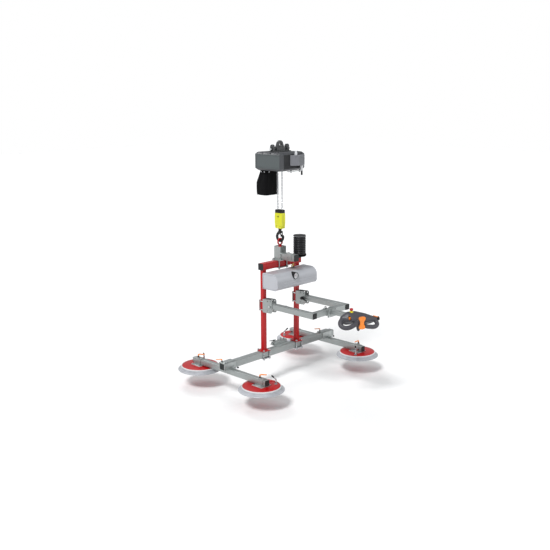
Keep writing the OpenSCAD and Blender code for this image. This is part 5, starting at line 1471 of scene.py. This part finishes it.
class LIFTER_OT_stage(bpy.types.Operator):
    """Pale floor, soft lights and the camera at the photo's angle"""
    bl_idname = "lifter.stage"
    bl_label = "Stage"

    def execute(self, context):
        floor_look = Look("floor_pale", (0.90, 0.90, 0.90), 0.6)
        haze = floor_look.noise(0.7, 3.0)
        away = floor_look.node("ShaderNodeVectorMath", {"operation": "LENGTH"}, floor_look.place(),
                               out="Value")
        # Painted light: the floor glows with an emission that grows with distance from the origin, from 2.8 m
        # to 6 m out, so that the far floor fades into the white backdrop
        far = floor_look.spread(away, 2.8, 6.0)
        floor_look.drive(Base_Color=floor_look.blend(haze, (0.89, 0.89, 0.89), (0.92, 0.92, 0.92)),
                         Emission_Color=floor_look.blend(far, (0.0, 0.0, 0.0), (0.2, 0.2, 0.2)))
        floor_look.shader.inputs["Emission Strength"].default_value = 1.0
        clear()
        bpy.ops.mesh.primitive_plane_add(size=60, location=at(0, 0, FLOOR_Z))
        floor = apply(newest("floor"))
        floor.data.materials.append(floor_look.material)

        world = context.scene.world or bpy.data.worlds.new("World")
        context.scene.world = world
        world.use_nodes = True
        nodes, links = world.node_tree.nodes, world.node_tree.links
        soft, backdrop = nodes["Background"], nodes.new("ShaderNodeBackground")
        for sky, tint, strength in ((soft, (0.96, 0.98, 1.0, 1.0), 0.45),
                                    (backdrop, (1.0, 1.0, 1.0, 1.0), 1.0)):
            sky.inputs["Color"].default_value = tint
            sky.inputs["Strength"].default_value = strength
        rays, mixed = nodes.new("ShaderNodeLightPath"), nodes.new("ShaderNodeMixShader")
        links.new(rays.outputs["Is Camera Ray"], mixed.inputs[0])
        links.new(soft.outputs[0], mixed.inputs[1])
        links.new(backdrop.outputs[0], mixed.inputs[2])
        links.new(mixed.outputs[0], nodes["World Output"].inputs["Surface"])
        for name, kind, place, size, power in (("key", "SUN", (-3.4, -0.9, 3.4), math.radians(16), 2.4),
                                               ("fill", "AREA", (2.6, -4.0, 1.0), 3.0, 45.0),
                                               ("rim", "AREA", (0.6, 3.6, 2.4), 2.4, 70.0)):
            lamp = bpy.data.lights.new(name, kind)
            lamp.energy = power
            if kind == "SUN":
                lamp.angle = size
            else:
                lamp.size = size
            made = bpy.data.objects.new(name, lamp)
            context.scene.collection.objects.link(made)
            made.location = place
            made.rotation_euler = (Vector((0, 0, -0.9)) - Vector(place)).to_track_quat("-Z", "Y").to_euler()

        lens = bpy.data.cameras.new("camera")
        lens.sensor_width = 36.0
        lens.lens = 52.62
        lens.clip_end = 100.0
        camera = bpy.data.objects.new("camera", lens)
        context.scene.collection.objects.link(camera)
        camera.location = at(*CAMERA_AT)
        turns = [Matrix.Rotation(math.radians(a), 3, way)
                 for a, way in ((-45.65, "Z"), (90 - 12.6, "X"), (-0.3, "Z"))]
        camera.rotation_euler = (turns[0] @ turns[1] @ turns[2]).to_euler()
        context.scene.camera = camera
        context.scene.view_settings.view_transform = "Standard"
        return {"FINISHED"}


STEPS = [LIFTER_OT_stage, LIFTER_OT_finishes, LIFTER_OT_hoist, LIFTER_OT_eye, LIFTER_OT_control_box,
         LIFTER_OT_chain_bag, LIFTER_OT_hook_block, LIFTER_OT_hook, LIFTER_OT_spiral_cable,
         LIFTER_OT_post, LIFTER_OT_pump_cover, LIFTER_OT_gauge, LIFTER_OT_levers, LIFTER_OT_brackets,
         LIFTER_OT_handle, LIFTER_OT_cross_beams, LIFTER_OT_pads]


class LIFTER_PT_panel(bpy.types.Panel):
    bl_idname = "LIFTER_PT_panel"
    bl_label = "Glass panel lifter"
    bl_space_type = "VIEW_3D"
    bl_region_type = "UI"
    bl_category = "Lifter"

    def draw(self, context):
        for group in (context.scene.lifter_sizes, context.scene.lifter_colours):
            for key in group.__annotations__:
                self.layout.prop(group, key)
        for step in STEPS:
            self.layout.operator(step.bl_idname)


CLASSES = [LifterSizes, LifterColours, *STEPS, LIFTER_PT_panel]


def register():
    for kind in CLASSES:
        bpy.utils.register_class(kind)
    bpy.types.Scene.lifter_sizes = bpy.props.PointerProperty(type=LifterSizes)
    bpy.types.Scene.lifter_colours = bpy.props.PointerProperty(type=LifterColours)


def unregister():
    del bpy.types.Scene.lifter_colours
    del bpy.types.Scene.lifter_sizes
    for kind in reversed(CLASSES):
        bpy.utils.unregister_class(kind)


def main():
    register()
    for step in STEPS:
        group, action = step.bl_idname.split(".")
        getattr(getattr(bpy.ops, group), action)()
    clear()


if __name__ == "__main__":
    main()
